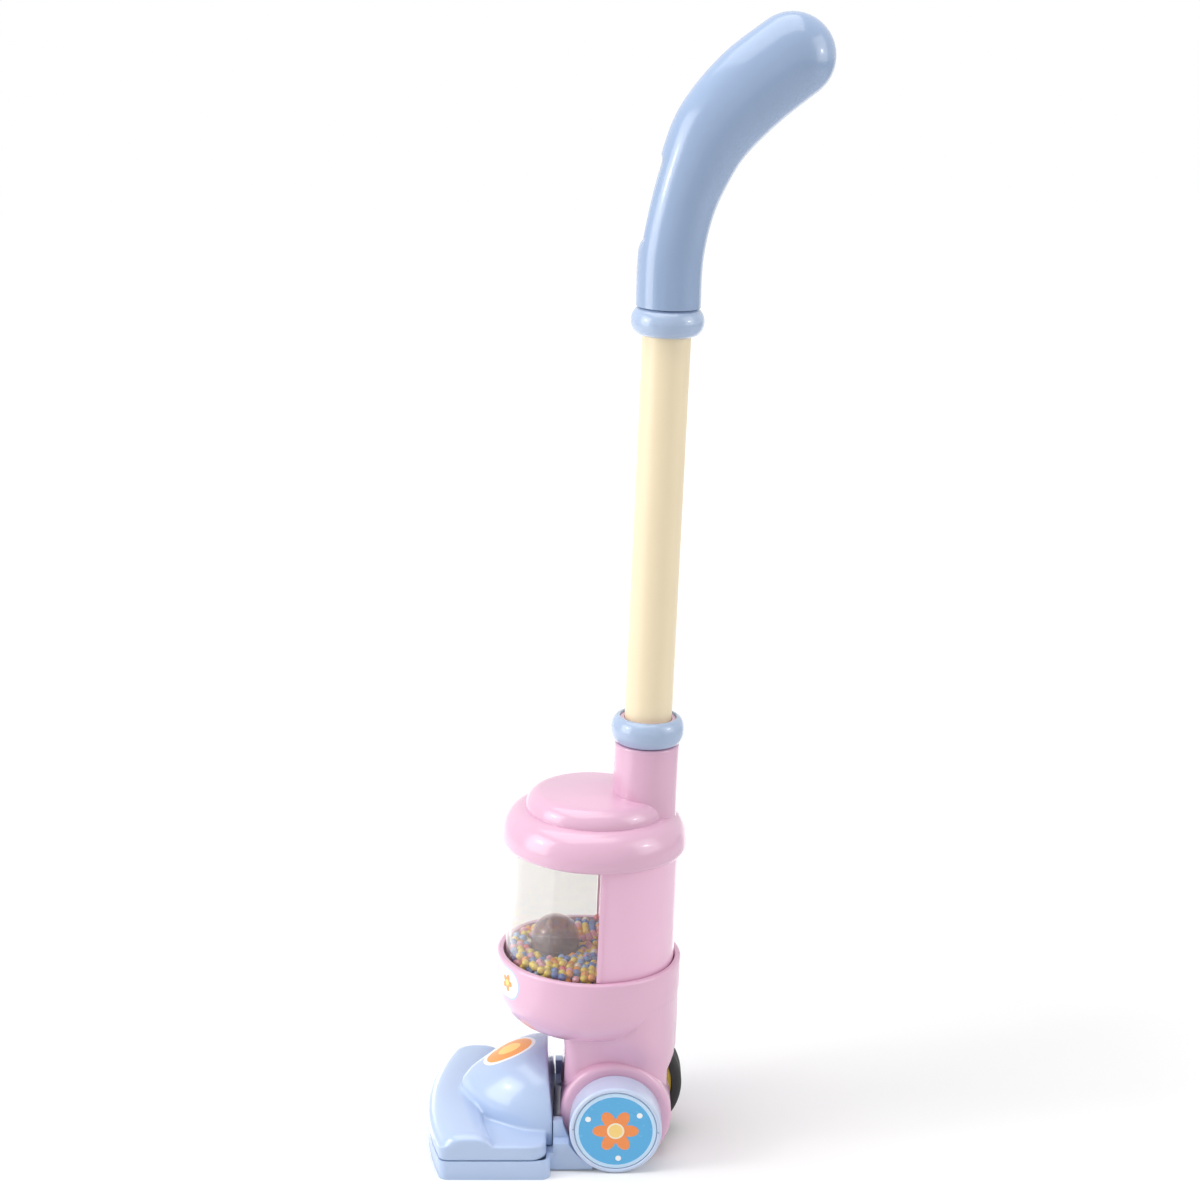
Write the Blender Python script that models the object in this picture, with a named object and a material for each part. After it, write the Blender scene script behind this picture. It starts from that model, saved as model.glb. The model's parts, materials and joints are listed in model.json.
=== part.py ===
"""Toy upright vacuum cleaner with a bead chamber.

Metres, +Z up. The nozzle is at -Y, the handle leans back towards +Y and the
wheels turn about X. The origin is on the floor, under the middle of the toy.

Two groups of pieces meet at the drive axle. The nozzle's pieces are drawn with
Y from the drive axle and Z from the floor. The upright's pieces are drawn with
Y and Z from the drive axle, before the upright leans back.
"""

import math

import bmesh
import bpy
from mathutils import Matrix, Vector

# Clearances and walls
seam_gap = 0.0003
running_gap = 0.0005
overrun = 0.002
weld_distance = 0.000001
shell_wall = 0.002
lean_degrees = 2.4

# Drive wheel, on the tilt axis
drive_wheel_radius = 0.031
drive_tyre_width = 0.018
drive_tyre_depth = 0.0068
drive_tyre_shoulder = 0.003
drive_hub_width = 0.0156
drive_hub_web = 0.003
drive_hub_rim = 0.0025
drive_boss_radius = 0.0042
axle_radius = 0.002
axle_reach = 0.030

# Crown wheel and pinion, spur train
gear_module = 0.00125
crown_teeth = 32
crown_face = 0.004
pinion_teeth = 10
pinion_face = 0.0024
layshaft_teeth = 20
idler_teeth = 12
stirrer_teeth = 24
spur_face = 0.0035
spur_train_level = 0.0510
gear_boss_radius = 0.0036
shaft_radius = 0.0016

# Side wheels
side_wheel_radius = 0.0241
side_wheel_width = 0.017
side_wheel_inner_face = 0.034
side_wheel_back = 0.0041
side_wheel_edge = 0.0016
wheel_disc_radius = 0.0203
wheel_disc_thickness = 0.0009
wheel_recess = 0.0013
wheel_web = 0.0025
wheel_boss_radius = 0.0050
wheel_pin_root = 0.0264

# Lower housing: bowl, column and wheel cheeks
bowl_radius = 0.0486
bowl_inner_radius = 0.0451
bowl_fillet = 0.024
bowl_floor_level = 0.0332
bowl_rim_level = 0.0730
bowl_rim_round = 0.0014
body_axis_forward = 0.0213
column_half_width = 0.027
column_front = 0.0319
column_corner = 0.006
well_ceiling_level = 0.0323
cheek_radius = 0.0293
cheek_face = 0.0335
cheek_edge = 0.003
floor_clearance = 0.004
cheek_front_sweep = 0.0343
cheek_rear_sweep = 0.0304
wheel_slot_top = 0.019
front_slot_top = 0.0135
wheel_slot_side_gap = 0.0015
boss_radius = 0.0046
chamber_ledge_level = 0.0584

# Canister
canister_radius = 0.0447
canister_top_level = 0.1305
chamber_floor_thickness = 0.002
window_radius = 0.0443
window_wall = 0.0016
window_side_degrees = 5.0
edge_strip_width = 0.002
edge_strip_height = 0.0005
bead_level = 0.0850
bead_diameter = 0.0043

# Stirrer
dome_radius = 0.0127
dome_wall = 0.0012
dome_centre_level = 0.0790
dome_skirt = 0.0120
stirrer_plate_thickness = 0.0016
stirrer_fin_thickness = 0.0016
stirrer_fin_height = 0.0060

# Top cover
cover_radius = 0.0485
cover_bottom_level = 0.1252
cover_widest_level = 0.1365
cover_crease_level = 0.1525
cover_crease_radius = 0.0370
cover_disc_radius = 0.0365
cover_disc_round = 0.0085
cover_top_level = 0.1630
cover_ledge_depth = 0.0024
cover_ledge_thickness = 0.002
neck_radius = 0.0168
neck_flare = 0.0004
neck_top_level = 0.1898
neck_back = 0.0252
neck_root_level = 0.1400
spigot_height = 0.0100
spigot_wall = 0.0018

# Tube and its collars
tube_radius = 0.0122
tube_wall = 0.0014
tube_in_neck = 0.0260
tube_length = 0.2710
collar_height = 0.0140
collar_bulge = 0.0052
socket_collar_radius = 0.0190
grip_collar_radius = 0.0184
grip_collar_level = 0.4026

# Grip
grip_rise = 0.1242
grip_reach = 0.0541
grip_foot_depth = 0.0162
grip_head_depth = 0.0215
grip_foot_width = 0.0162
grip_head_width = 0.0174
grip_wall = 0.0022
recess_half_width = 0.0074
recess_depth = 0.0024
grip_spine_shares = (
    (0.00, 0.000, 0.00),
    (0.20, 0.000, 0.02),
    (0.39, 0.070, 0.06),
    (0.55, 0.180, 0.33),
    (0.71, 0.345, 0.75),
    (0.87, 0.650, 1.00),
    (1.00, 1.000, 0.97),
)
grip_screw_shares = (0.50, 0.71, 0.90)
recess_shares = (0.515, 0.865)

# Screws
screw_head_radius = 0.0027
screw_head_height = 0.0017
screw_shank_radius = 0.0012
screw_length = 0.0120
screw_post_wall = 0.0010
screw_web = 0.0020
screw_slot_width = 0.0008
screw_slot_depth = 0.0007

# Nozzle
nozzle_half_width = 0.0576
nozzle_reach = 0.1045
nozzle_bow = 0.0065
nozzle_rear = 0.0415
nozzle_corner = 0.005
nozzle_base_height = 0.0103
nozzle_shelf_height = 0.0187
nozzle_edge_round = 0.0016
nozzle_floor = 0.003
bar_depth = 0.028
bar_setback = 0.0012
bar_height = 0.0247
hump_height = 0.0543
hump_half_width = 0.0386
hump_front = 0.0905
hump_rear = 0.0405
hump_rear_slope = 0.0065
yoke_height = 0.0245
yoke_middle_height = 0.017
yoke_tail = 0.020
arm_height = 0.0156
arm_half_width = 0.048
arm_rear = 0.0050
arm_floor_gap = 0.001
wheel_arch_gap = 0.0037
yoke_sweep_gap = 0.0007
lug_inner = 0.0190
lug_thickness = 0.0045
lug_radius = 0.007
suction_slot_length = 0.070
suction_slot_width = 0.012
hump_shares = (
    (0.000, 0.26, 0.30),
    (0.100, 0.44, 0.46),
    (0.280, 0.60, 0.69),
    (0.540, 0.80, 0.89),
    (0.770, 0.93, 0.98),
    (0.900, 0.98, 1.00),
    (1.000, 1.00, 0.99),
)
base_screw_shares = ((0.78, 0.69), (0.78, 0.20))

# Facets
round_steps = 44
wheel_steps = 32
small_steps = 14
tiny_steps = 8
arc_steps = 5
corner_steps = 2
inner_steps = 3
spine_steps = 3
side_steps = 10

# Places worked out from the sizes above
lean = math.radians(lean_degrees)
half_gap = seam_gap / 2
hub_face = drive_hub_width / 2
crown_radius = gear_module * crown_teeth / 2
pinion_radius = gear_module * pinion_teeth / 2
tooth_above_share = 0.9
tooth_below_share = 1.15
tooth_thick_share = 0.38
tooth_slope_degrees = 20.0
crown_pitch_face = hub_face + tooth_below_share * gear_module
layshaft_side = crown_pitch_face + pinion_radius
spur_distance = gear_module * (layshaft_teeth + 2 * idler_teeth + stirrer_teeth) / 2
stirrer_forward = math.sqrt(spur_distance ** 2 - layshaft_side ** 2)
to_stirrer = math.atan2(-stirrer_forward, -layshaft_side)
idler_distance = gear_module * (layshaft_teeth + idler_teeth) / 2
idler_place = (layshaft_side + idler_distance * math.cos(to_stirrer), idler_distance * math.sin(to_stirrer))
side_wheel_drop = drive_wheel_radius - side_wheel_radius
cheek_drop = side_wheel_drop
chamber_floor_level = chamber_ledge_level + seam_gap
canister_foot_level = chamber_floor_level + chamber_floor_thickness + seam_gap
neck_y = neck_back - body_axis_forward
tube_foot_level = neck_top_level + spigot_height - tube_in_neck
collar_foot_level = neck_top_level + seam_gap
grip_foot_level = grip_collar_level + collar_height + seam_gap
tube_top_level = tube_foot_level + tube_length
bowl_arc_level = bowl_floor_level + bowl_fillet
bowl_flat_radius = bowl_radius - bowl_fillet
ledge_radius = bowl_inner_radius - shell_wall
post_radius = screw_head_radius + seam_gap + screw_post_wall
cheek_inner_face = cheek_face - shell_wall


def clear_scene():
    for item in list(bpy.data.objects):
        bpy.data.objects.remove(item, do_unlink=True)


def paint(name, colour, roughness, metallic=0.0, alpha=1.0):
    """A plain Principled material, shared by the pieces of one moulding."""
    material = bpy.data.materials.get(name)
    if material:
        return material
    material = bpy.data.materials.new(name)
    material.use_nodes = True
    shader = material.node_tree.nodes["Principled BSDF"]
    shader.inputs["Base Color"].default_value = (*colour, 1.0)
    shader.inputs["Roughness"].default_value = roughness
    shader.inputs["Metallic"].default_value = metallic
    shader.inputs["Alpha"].default_value = alpha
    return material


def blue():
    return paint("sky_blue_plastic", (0.50, 0.66, 0.88), 0.25)


def pink():
    return paint("pink_plastic", (0.86, 0.60, 0.76), 0.25)


def ivory():
    return paint("ivory_tube", (0.86, 0.78, 0.60), 0.45)


def clear():
    return paint("clear_plastic", (0.95, 0.95, 0.94), 0.05, alpha=0.3)


def smoke():
    return paint("smoky_plastic", (0.36, 0.24, 0.26), 0.08, alpha=0.5)


def yellow():
    return paint("yellow_plastic", (0.92, 0.72, 0.08), 0.35)


def white():
    return paint("white_plastic", (0.86, 0.86, 0.84), 0.35)


def rubber():
    return paint("black_rubber", (0.02, 0.02, 0.022), 0.7)


def steel():
    return paint("steel", (0.62, 0.62, 0.63), 0.3, metallic=1.0)


def finish(solid, material, parent, sharp_degrees=35.0):
    """Shades a finished solid, gives it its material and hangs it on its frame."""
    mesh = solid.data
    mesh.materials.clear()
    mesh.materials.append(material)
    mesh.shade_smooth()
    mesh.set_sharp_from_angle(angle=math.radians(sharp_degrees))
    solid.parent = parent
    return solid


def solid_from(name, form):
    """Closes a bmesh into a new object with its faces pointing out."""
    bmesh.ops.remove_doubles(form, verts=form.verts, dist=weld_distance)
    bmesh.ops.recalc_face_normals(form, faces=form.faces)
    if form.calc_volume(signed=True) < 0:
        bmesh.ops.reverse_faces(form, faces=form.faces)
    mesh = bpy.data.meshes.new(name)
    form.to_mesh(mesh)
    form.free()
    solid = bpy.data.objects.new(name, mesh)
    bpy.context.collection.objects.link(solid)
    return solid


def arc(centre, radii, start_degrees, end_degrees, steps=arc_steps):
    """Points along part of an ellipse, both ends included."""
    points = []
    for step in range(steps + 1):
        turn = math.radians(start_degrees + (end_degrees - start_degrees) * step / steps)
        points.append((centre[0] + radii[0] * math.cos(turn), centre[1] + radii[1] * math.sin(turn)))
    return points


def turned(name, profile, steps=round_steps, middle=(0.0, 0.0)):
    """Spins a profile of (radius, height) points about an upright axis."""
    form = bmesh.new()
    rim = [form.verts.new((radius, 0.0, height)) for radius, height in profile]
    runs = [form.edges.new(pair) for pair in zip(rim, rim[1:])]
    if profile[0][0] > 0 or profile[-1][0] > 0:
        runs.append(form.edges.new((rim[-1], rim[0])))
    bmesh.ops.spin(form, geom=rim + runs, cent=(0, 0, 0), axis=(0, 0, 1),
                   angle=math.tau, steps=steps, use_merge=True)
    bmesh.ops.translate(form, verts=form.verts, vec=(middle[0], middle[1], 0.0))
    return solid_from(name, form)


def drum(name, radius, low, high, steps=small_steps, middle=(0.0, 0.0)):
    """A plain round solid about an upright axis."""
    return turned(name, [(0.0, low), (radius, low), (radius, high), (0.0, high)], steps, middle)


def lay_along_x(solid, place=(0.0, 0.0)):
    """Turns an upright round solid so that its axis runs along X at (y, z)."""
    solid.data.transform(Matrix.Rotation(math.pi / 2, 4, "Y"))
    solid.data.transform(Matrix.Translation((0.0, place[0], place[1])))
    return solid


def rod(name, radius, low, high, place=(0.0, 0.0), steps=small_steps):
    """A round solid along X from low to high, centred on (y, z)."""
    return lay_along_x(drum(name, radius, low, high, steps), place)


def slab(name, outline, low, high, along="Z"):
    """Extrudes a flat outline: (x, y) points along Z, or (y, z) points along X."""
    form = bmesh.new()
    if along == "Z":
        foot = [form.verts.new((x, y, low)) for x, y in outline]
        travel = (0.0, 0.0, high - low)
    else:
        foot = [form.verts.new((low, y, z)) for y, z in outline]
        travel = (high - low, 0.0, 0.0)
    face = form.faces.new(foot)
    grown = bmesh.ops.extrude_face_region(form, geom=[face], use_keep_orig=True)
    lifted = [item for item in grown["geom"] if isinstance(item, bmesh.types.BMVert)]
    bmesh.ops.translate(form, verts=lifted, vec=travel)
    return solid_from(name, form)


def block(name, low, high):
    """A rectangular solid between two corners."""
    outline = [(low[0], low[1]), (high[0], low[1]), (high[0], high[1]), (low[0], high[1])]
    return slab(name, outline, low[2], high[2])


def lofted(name, rings):
    """Skins closed rings of equal count into one solid with flat ends."""
    form = bmesh.new()
    rows = [[form.verts.new(point) for point in ring] for ring in rings]
    count = len(rows[0])
    for lower, upper in zip(rows, rows[1:]):
        for index in range(count):
            after = (index + 1) % count
            form.faces.new((lower[index], lower[after], upper[after], upper[index]))
    form.faces.new(rows[0][::-1])
    form.faces.new(rows[-1])
    return solid_from(name, form)


def is_closed(mesh):
    """True where every edge joins exactly two faces."""
    form = bmesh.new()
    form.from_mesh(mesh)
    closed = all(len(rim.link_faces) == 2 for rim in form.edges)
    form.free()
    return closed


def combine(target, tool, operation):
    """Applies one Boolean, exact unless that leaves the solid open, and removes the tool."""
    before = target.data.copy()
    for solver in ("EXACT", "MANIFOLD"):
        change = target.modifiers.new(operation.lower(), "BOOLEAN")
        change.object = tool
        change.operation = operation
        change.solver = solver
        bpy.context.view_layer.update()
        with bpy.context.temp_override(object=target, active_object=target):
            bpy.ops.object.modifier_apply(modifier=change.name)
        if is_closed(target.data):
            break
        target.data = before.copy()
    bpy.data.objects.remove(tool, do_unlink=True)


def join(target, tool):
    combine(target, tool, "UNION")


def cut(target, tool):
    combine(target, tool, "DIFFERENCE")


def keep(target, tool):
    combine(target, tool, "INTERSECT")


def empty(name, parent=None):
    frame = bpy.data.objects.new(name, None)
    bpy.context.collection.objects.link(frame)
    frame.parent = parent
    return frame


def screw(name, parent, place, head_turn):
    """A slotted pan-head screw whose head faces -X, or -Z before it is turned."""
    shank_end = screw_head_height + screw_length
    profile = [(0.0, 0.0), (screw_head_radius - screw_slot_depth, 0.0),
               (screw_head_radius, screw_slot_depth), (screw_head_radius, screw_head_height),
               (screw_shank_radius, screw_head_height), (screw_shank_radius, shank_end - screw_shank_radius),
               (0.0, shank_end)]
    body = turned(name, profile, tiny_steps)
    reach = screw_head_radius + overrun
    cut(body, block("slot", (-reach, -screw_slot_width / 2, -overrun),
                    (reach, screw_slot_width / 2, screw_slot_depth)))
    finish(body, steel(), parent)
    body.location = place
    body.rotation_euler = head_turn
    return body


def gear_outline(teeth, module, turn):
    """The outline of a spur gear, with one tooth centred on the angle turn."""
    pitch_radius = module * teeth / 2
    tip = pitch_radius + tooth_above_share * module
    root = pitch_radius - tooth_below_share * module
    thick = tooth_thick_share * math.pi * module
    slope = math.tan(math.radians(tooth_slope_degrees))
    half_tip = (thick / 2 - tooth_above_share * module * slope) / tip
    half_root = (thick / 2 + tooth_below_share * module * slope) / root
    points = []
    for tooth in range(teeth):
        middle = turn + math.tau * tooth / teeth
        for radius, angle in ((root, -half_root), (tip, -half_tip), (tip, half_tip), (root, half_root)):
            points.append((radius * math.cos(middle + angle), radius * math.sin(middle + angle)))
    return points


def spur_gear(name, teeth, low, high, turn, boss_low, boss_high):
    """A spur gear about Z with a boss and a bore for its shaft."""
    wheel = slab(name, gear_outline(teeth, gear_module, turn), low, high)
    join(wheel, drum("boss", gear_boss_radius, boss_low, boss_high))
    cut(wheel, drum("bore", shaft_radius + seam_gap, boss_low - overrun, boss_high + overrun, tiny_steps))
    return wheel


def crown_wheel(low):
    """A ring of upright teeth on a face at height low, centred on Z."""
    pitch = math.tau / crown_teeth
    slope = math.tan(math.radians(tooth_slope_degrees))
    height = (tooth_above_share + tooth_below_share) * gear_module
    half_pitch_thick = tooth_thick_share * math.pi * gear_module / 2
    half_root = half_pitch_thick + tooth_below_share * gear_module * slope
    half_tip = half_pitch_thick - tooth_above_share * gear_module * slope
    inner = crown_radius - crown_face / 2
    outer = crown_radius + crown_face / 2
    ring = turned("crown", [(inner, low - drive_hub_web), (outer, low - drive_hub_web),
                            (outer, low), (inner, low)], wheel_steps)
    for tooth in range(crown_teeth):
        sides = ((-half_root, low - weld_distance), (half_root, low - weld_distance),
                 (half_tip, low + height), (-half_tip, low + height))
        rings = []
        for radius in (inner, outer):
            rings.append([(radius, side, level) for side, level in sides])
        rib = lofted("tooth", rings)
        rib.data.transform(Matrix.Rotation(pitch * tooth, 4, "Z"))
        join(ring, rib)
    return ring


def drive_wheel(upright):
    """Rubber tyre on a spoked yellow hub whose face carries the crown wheel."""
    frame = empty("drive_wheel_frame", upright)
    half = drive_tyre_width / 2
    tread = drive_wheel_radius
    seat = drive_wheel_radius - drive_tyre_depth
    shoulder = drive_tyre_shoulder
    profile = [(seat, -half), *arc((tread - shoulder, -half + shoulder), (shoulder, shoulder), -90, 0, corner_steps),
               *arc((tread - shoulder, half - shoulder), (shoulder, shoulder), 0, 90, corner_steps), (seat, half)]
    tyre = lay_along_x(turned("drive_tyre", profile, wheel_steps))
    finish(tyre, rubber(), frame)

    hub_rim = seat - seam_gap
    web = drive_hub_web / 2
    boss_end = lug_inner - seam_gap
    profile = [(axle_radius + seam_gap, -boss_end), (drive_boss_radius, -boss_end), (drive_boss_radius, -web),
               (hub_rim - drive_hub_rim, -web), (hub_rim - drive_hub_rim, -hub_face), (hub_rim, -hub_face),
               (hub_rim, hub_face), (crown_radius - crown_face / 2, hub_face),
               (crown_radius - crown_face / 2, web), (drive_boss_radius, web), (drive_boss_radius, boss_end),
               (axle_radius + seam_gap, boss_end)]
    hub = turned("drive_hub", profile, wheel_steps)
    join(hub, crown_wheel(hub_face))
    window_place = (drive_boss_radius + crown_radius - crown_face / 2) / 2
    for spoke in range(5):
        turn = math.tau * spoke / 5
        hole = drum("window", window_place / 3, -web - overrun, web + overrun, tiny_steps,
                    (window_place * math.cos(turn), window_place * math.sin(turn)))
        cut(hub, hole)
    lay_along_x(hub)
    finish(hub, yellow(), frame)

    axle = rod("drive_axle", axle_radius, -axle_reach, axle_reach)
    finish(axle, steel(), upright)


def gearbox(upright):
    """Layshaft with pinion and spur gear, and the idler between it and the stirrer."""
    lay_frame = empty("layshaft_frame", upright)
    lay_frame.location = (layshaft_side, 0.0, 0.0)
    low_end = crown_radius - pinion_face
    shaft_top = chamber_floor_level + chamber_floor_thickness / 2
    shaft = drum("layshaft", shaft_radius, low_end, shaft_top, tiny_steps)
    finish(shaft, steel(), lay_frame)

    pinion_low = crown_radius - pinion_face / 2
    half_step = math.pi / pinion_teeth
    pinion = spur_gear("layshaft_pinion", pinion_teeth, pinion_low, pinion_low + pinion_face,
                       half_step, pinion_low, well_ceiling_level - running_gap)
    finish(pinion, white(), lay_frame)

    spur_top = spur_train_level + spur_face
    gear = spur_gear("layshaft_gear", layshaft_teeth, spur_train_level, spur_top, to_stirrer,
                     shaft_boss_top() + running_gap, spur_top)
    finish(gear, white(), lay_frame)

    idler_frame = empty("idler_frame", upright)
    idler_frame.location = (*idler_place, 0.0)
    gear = spur_gear("idler_gear", idler_teeth, spur_train_level, spur_top,
                     to_stirrer + math.pi + math.pi / idler_teeth, shaft_boss_top() + running_gap, spur_top)
    finish(gear, white(), idler_frame)
    pin = drum("idler_pin", shaft_radius, shaft_pocket_level() + seam_gap,
               chamber_floor_level + chamber_floor_thickness / 2, tiny_steps)
    finish(pin, steel(), upright)
    pin.location = (*idler_place, 0.0)


def stirrer(upright):
    """Gear, shaft, finned hub and smoky dome that turn together among the beads."""
    frame = empty("stirrer_frame", upright)
    frame.location = (0.0, -stirrer_forward, 0.0)
    spur_top = spur_train_level + spur_face
    gear = spur_gear("stirrer_gear", stirrer_teeth, spur_train_level, spur_top,
                     to_stirrer + math.pi, shaft_boss_top() + running_gap, spur_top)
    finish(gear, yellow(), frame)

    plate_level = dome_centre_level - dome_skirt / 2
    hub_top = plate_level + stirrer_fin_height
    dome_inner = dome_radius - dome_wall
    shaft = drum("stirrer_shaft", shaft_radius, shaft_pocket_level() + seam_gap, hub_top, tiny_steps)
    finish(shaft, steel(), frame)

    hub = drum("stirrer_hub", dome_inner - seam_gap, plate_level, plate_level + stirrer_plate_thickness)
    reach = dome_inner - dome_wall
    for turn in (0.0, math.pi / 2):
        fin = block("fin", (-reach, -stirrer_fin_thickness / 2, plate_level + stirrer_plate_thickness / 2),
                    (reach, stirrer_fin_thickness / 2, hub_top))
        fin.data.transform(Matrix.Rotation(turn, 4, "Z"))
        join(hub, fin)
    join(hub, drum("boss", gear_boss_radius, canister_foot_level + running_gap, hub_top + seam_gap))
    cut(hub, drum("bore", shaft_radius + seam_gap, canister_foot_level - overrun,
                  hub_top + overrun, tiny_steps))
    finish(hub, smoke(), frame)

    skirt_end = dome_centre_level - dome_skirt
    outer = arc((0.0, dome_centre_level), (dome_radius, dome_radius), 90, 0)
    inner = arc((0.0, dome_centre_level), (dome_inner, dome_inner), 0, 90, inner_steps)
    outer[0] = (0.0, dome_centre_level + dome_radius)
    inner[-1] = (0.0, dome_centre_level + dome_inner)
    dome = turned("stirrer_dome", [*outer, (dome_radius, skirt_end), (dome_inner, skirt_end), *inner],
                  wheel_steps)
    finish(dome, smoke(), frame)


def shaft_boss_top():
    """Top of the bosses that hold the shafts' lower ends."""
    return bowl_floor_level + shell_wall + gear_boss_radius


def shaft_pocket_level():
    """Floor of the pockets in those bosses."""
    return bowl_floor_level + shell_wall / 2


def side_wheels(upright):
    """Blue side wheels, each with a printed disc in its face, on fixed pins."""
    for name, side in (("left", 1), ("right", -1)):
        frame = empty("side_wheel_frame_" + name, upright)
        frame.location = (0.0, -side_wheel_back, -side_wheel_drop)
        inner = side_wheel_inner_face
        outer = inner + side_wheel_width
        edge = side_wheel_edge
        recess = outer - wheel_recess
        web_back = recess - wheel_web
        seat = wheel_disc_radius + seam_gap
        rim_inner = side_wheel_radius - shell_wall
        bore = axle_radius + seam_gap
        profile = [(bore, inner), (wheel_boss_radius, inner), (wheel_boss_radius, web_back),
                   (rim_inner, web_back), (rim_inner, inner),
                   *arc((side_wheel_radius - edge, inner + edge), (edge, edge), -90, 0, corner_steps),
                   *arc((side_wheel_radius - edge, outer - edge), (edge, edge), 0, 90, corner_steps),
                   (seat, outer), (seat, recess), (bore, recess)]
        wheel = turned("side_wheel_" + name, profile, wheel_steps)
        disc = turned("wheel_disc_" + name, [
            (0.0, recess + seam_gap), (wheel_disc_radius, recess + seam_gap),
            (wheel_disc_radius, recess + wheel_disc_thickness), (0.0, recess + wheel_disc_thickness)], wheel_steps)
        pin = drum("wheel_pin_" + name, axle_radius, wheel_pin_root, recess, small_steps)
        for piece, material, parent in ((wheel, blue(), frame), (disc, paint("disc_blue", (0.10, 0.42, 0.72), 0.3), frame),
                                        (pin, steel(), upright)):
            lay_along_x(piece)
            if side < 0:
                piece.data.transform(Matrix.Rotation(math.pi, 4, "Z"))
            finish(piece, material, parent)
        pin.location = (0.0, -side_wheel_back, -side_wheel_drop)


def column_outline(inset):
    """Plan of the column: flat front and sides, rear on the bowl's own circle."""
    half = column_half_width - inset
    front = -column_front + inset
    corner = column_corner - inset
    radius = bowl_radius - seam_gap - inset
    side_turn = math.degrees(math.acos(half / radius))
    rear = arc((0.0, -body_axis_forward), (radius, radius), side_turn, 180 - side_turn)
    left = arc((-half + corner, front + corner), (corner, corner), 180, 270, corner_steps)
    right = arc((half - corner, front + corner), (corner, corner), 270, 360, corner_steps)
    return [*rear, *left, *right]


def cheek(name, radius, face, edge):
    """A round boss about the side wheels' axis, from side to side."""
    profile = [(0.0, -face), *arc((radius - edge, -face + edge), (edge, edge), -90, 0, corner_steps),
               *arc((radius - edge, face - edge), (edge, edge), 0, 90, corner_steps), (0.0, face)]
    return lay_along_x(turned(name, profile, wheel_steps), (-side_wheel_back, -cheek_drop))


def bowl_profile():
    rim = bowl_rim_round
    outer = bowl_radius
    return [(0.0, bowl_floor_level),
            *arc((bowl_flat_radius, bowl_arc_level), (bowl_fillet, bowl_fillet), -90, 0),
            (outer, bowl_rim_level - rim),
            *arc((outer - rim, bowl_rim_level - rim), (rim, rim), 0, 90, corner_steps),
            (0.0, bowl_rim_level)]


def gear_room_profile():
    """The hollow of the bowl: gear room below, canister seat above the ledge."""
    floor = bowl_floor_level + shell_wall
    fillet = bowl_fillet - shell_wall - (bowl_radius - bowl_inner_radius - shell_wall)
    start = ledge_radius - fillet
    return [(0.0, floor), *arc((start, floor + fillet), (fillet, fillet), -90, 0, inner_steps),
            (ledge_radius, chamber_ledge_level), (bowl_inner_radius, chamber_ledge_level),
            (bowl_inner_radius, bowl_rim_level + overrun), (0.0, bowl_rim_level + overrun)]


def sweep_trim():
    """What the cheeks give up so that they clear the yoke and the floor as they tilt."""
    far = bowl_radius * 2
    low = -drive_wheel_radius + floor_clearance
    front = arc((0.0, 0.0), (cheek_front_sweep, cheek_front_sweep), 180, 270)
    rear = arc((0.0, 0.0), (cheek_rear_sweep, cheek_rear_sweep), 270, 360)
    front = [(y, z) for y, z in front if z > low]
    rear = [(y, z) for y, z in rear if z > low]
    front.append((-math.sqrt(cheek_front_sweep ** 2 - low ** 2), low))
    rear.insert(0, (math.sqrt(cheek_rear_sweep ** 2 - low ** 2), low))
    outline = [(-far, 0.0), *front, *rear, (far, 0.0), (far, -far), (-far, -far)]
    return slab("trim", outline, -far, far, "X")


def housing_screw_places():
    """Where the four screws cross the seam, clear of the tyre and the gears."""
    tyre_clear = drive_wheel_radius + post_radius + running_gap
    front = -column_front + shell_wall + post_radius / 2
    ceiling = well_ceiling_level - post_radius
    rear = math.sqrt(tyre_clear ** 2 - ceiling ** 2)
    gear_low = spur_train_level - post_radius - running_gap * 2
    return ((front, ceiling), (rear + running_gap, ceiling),
            (-body_axis_forward - ledge_radius * 0.73, gear_low),
            (-body_axis_forward + ledge_radius * 0.80, gear_low))


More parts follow.
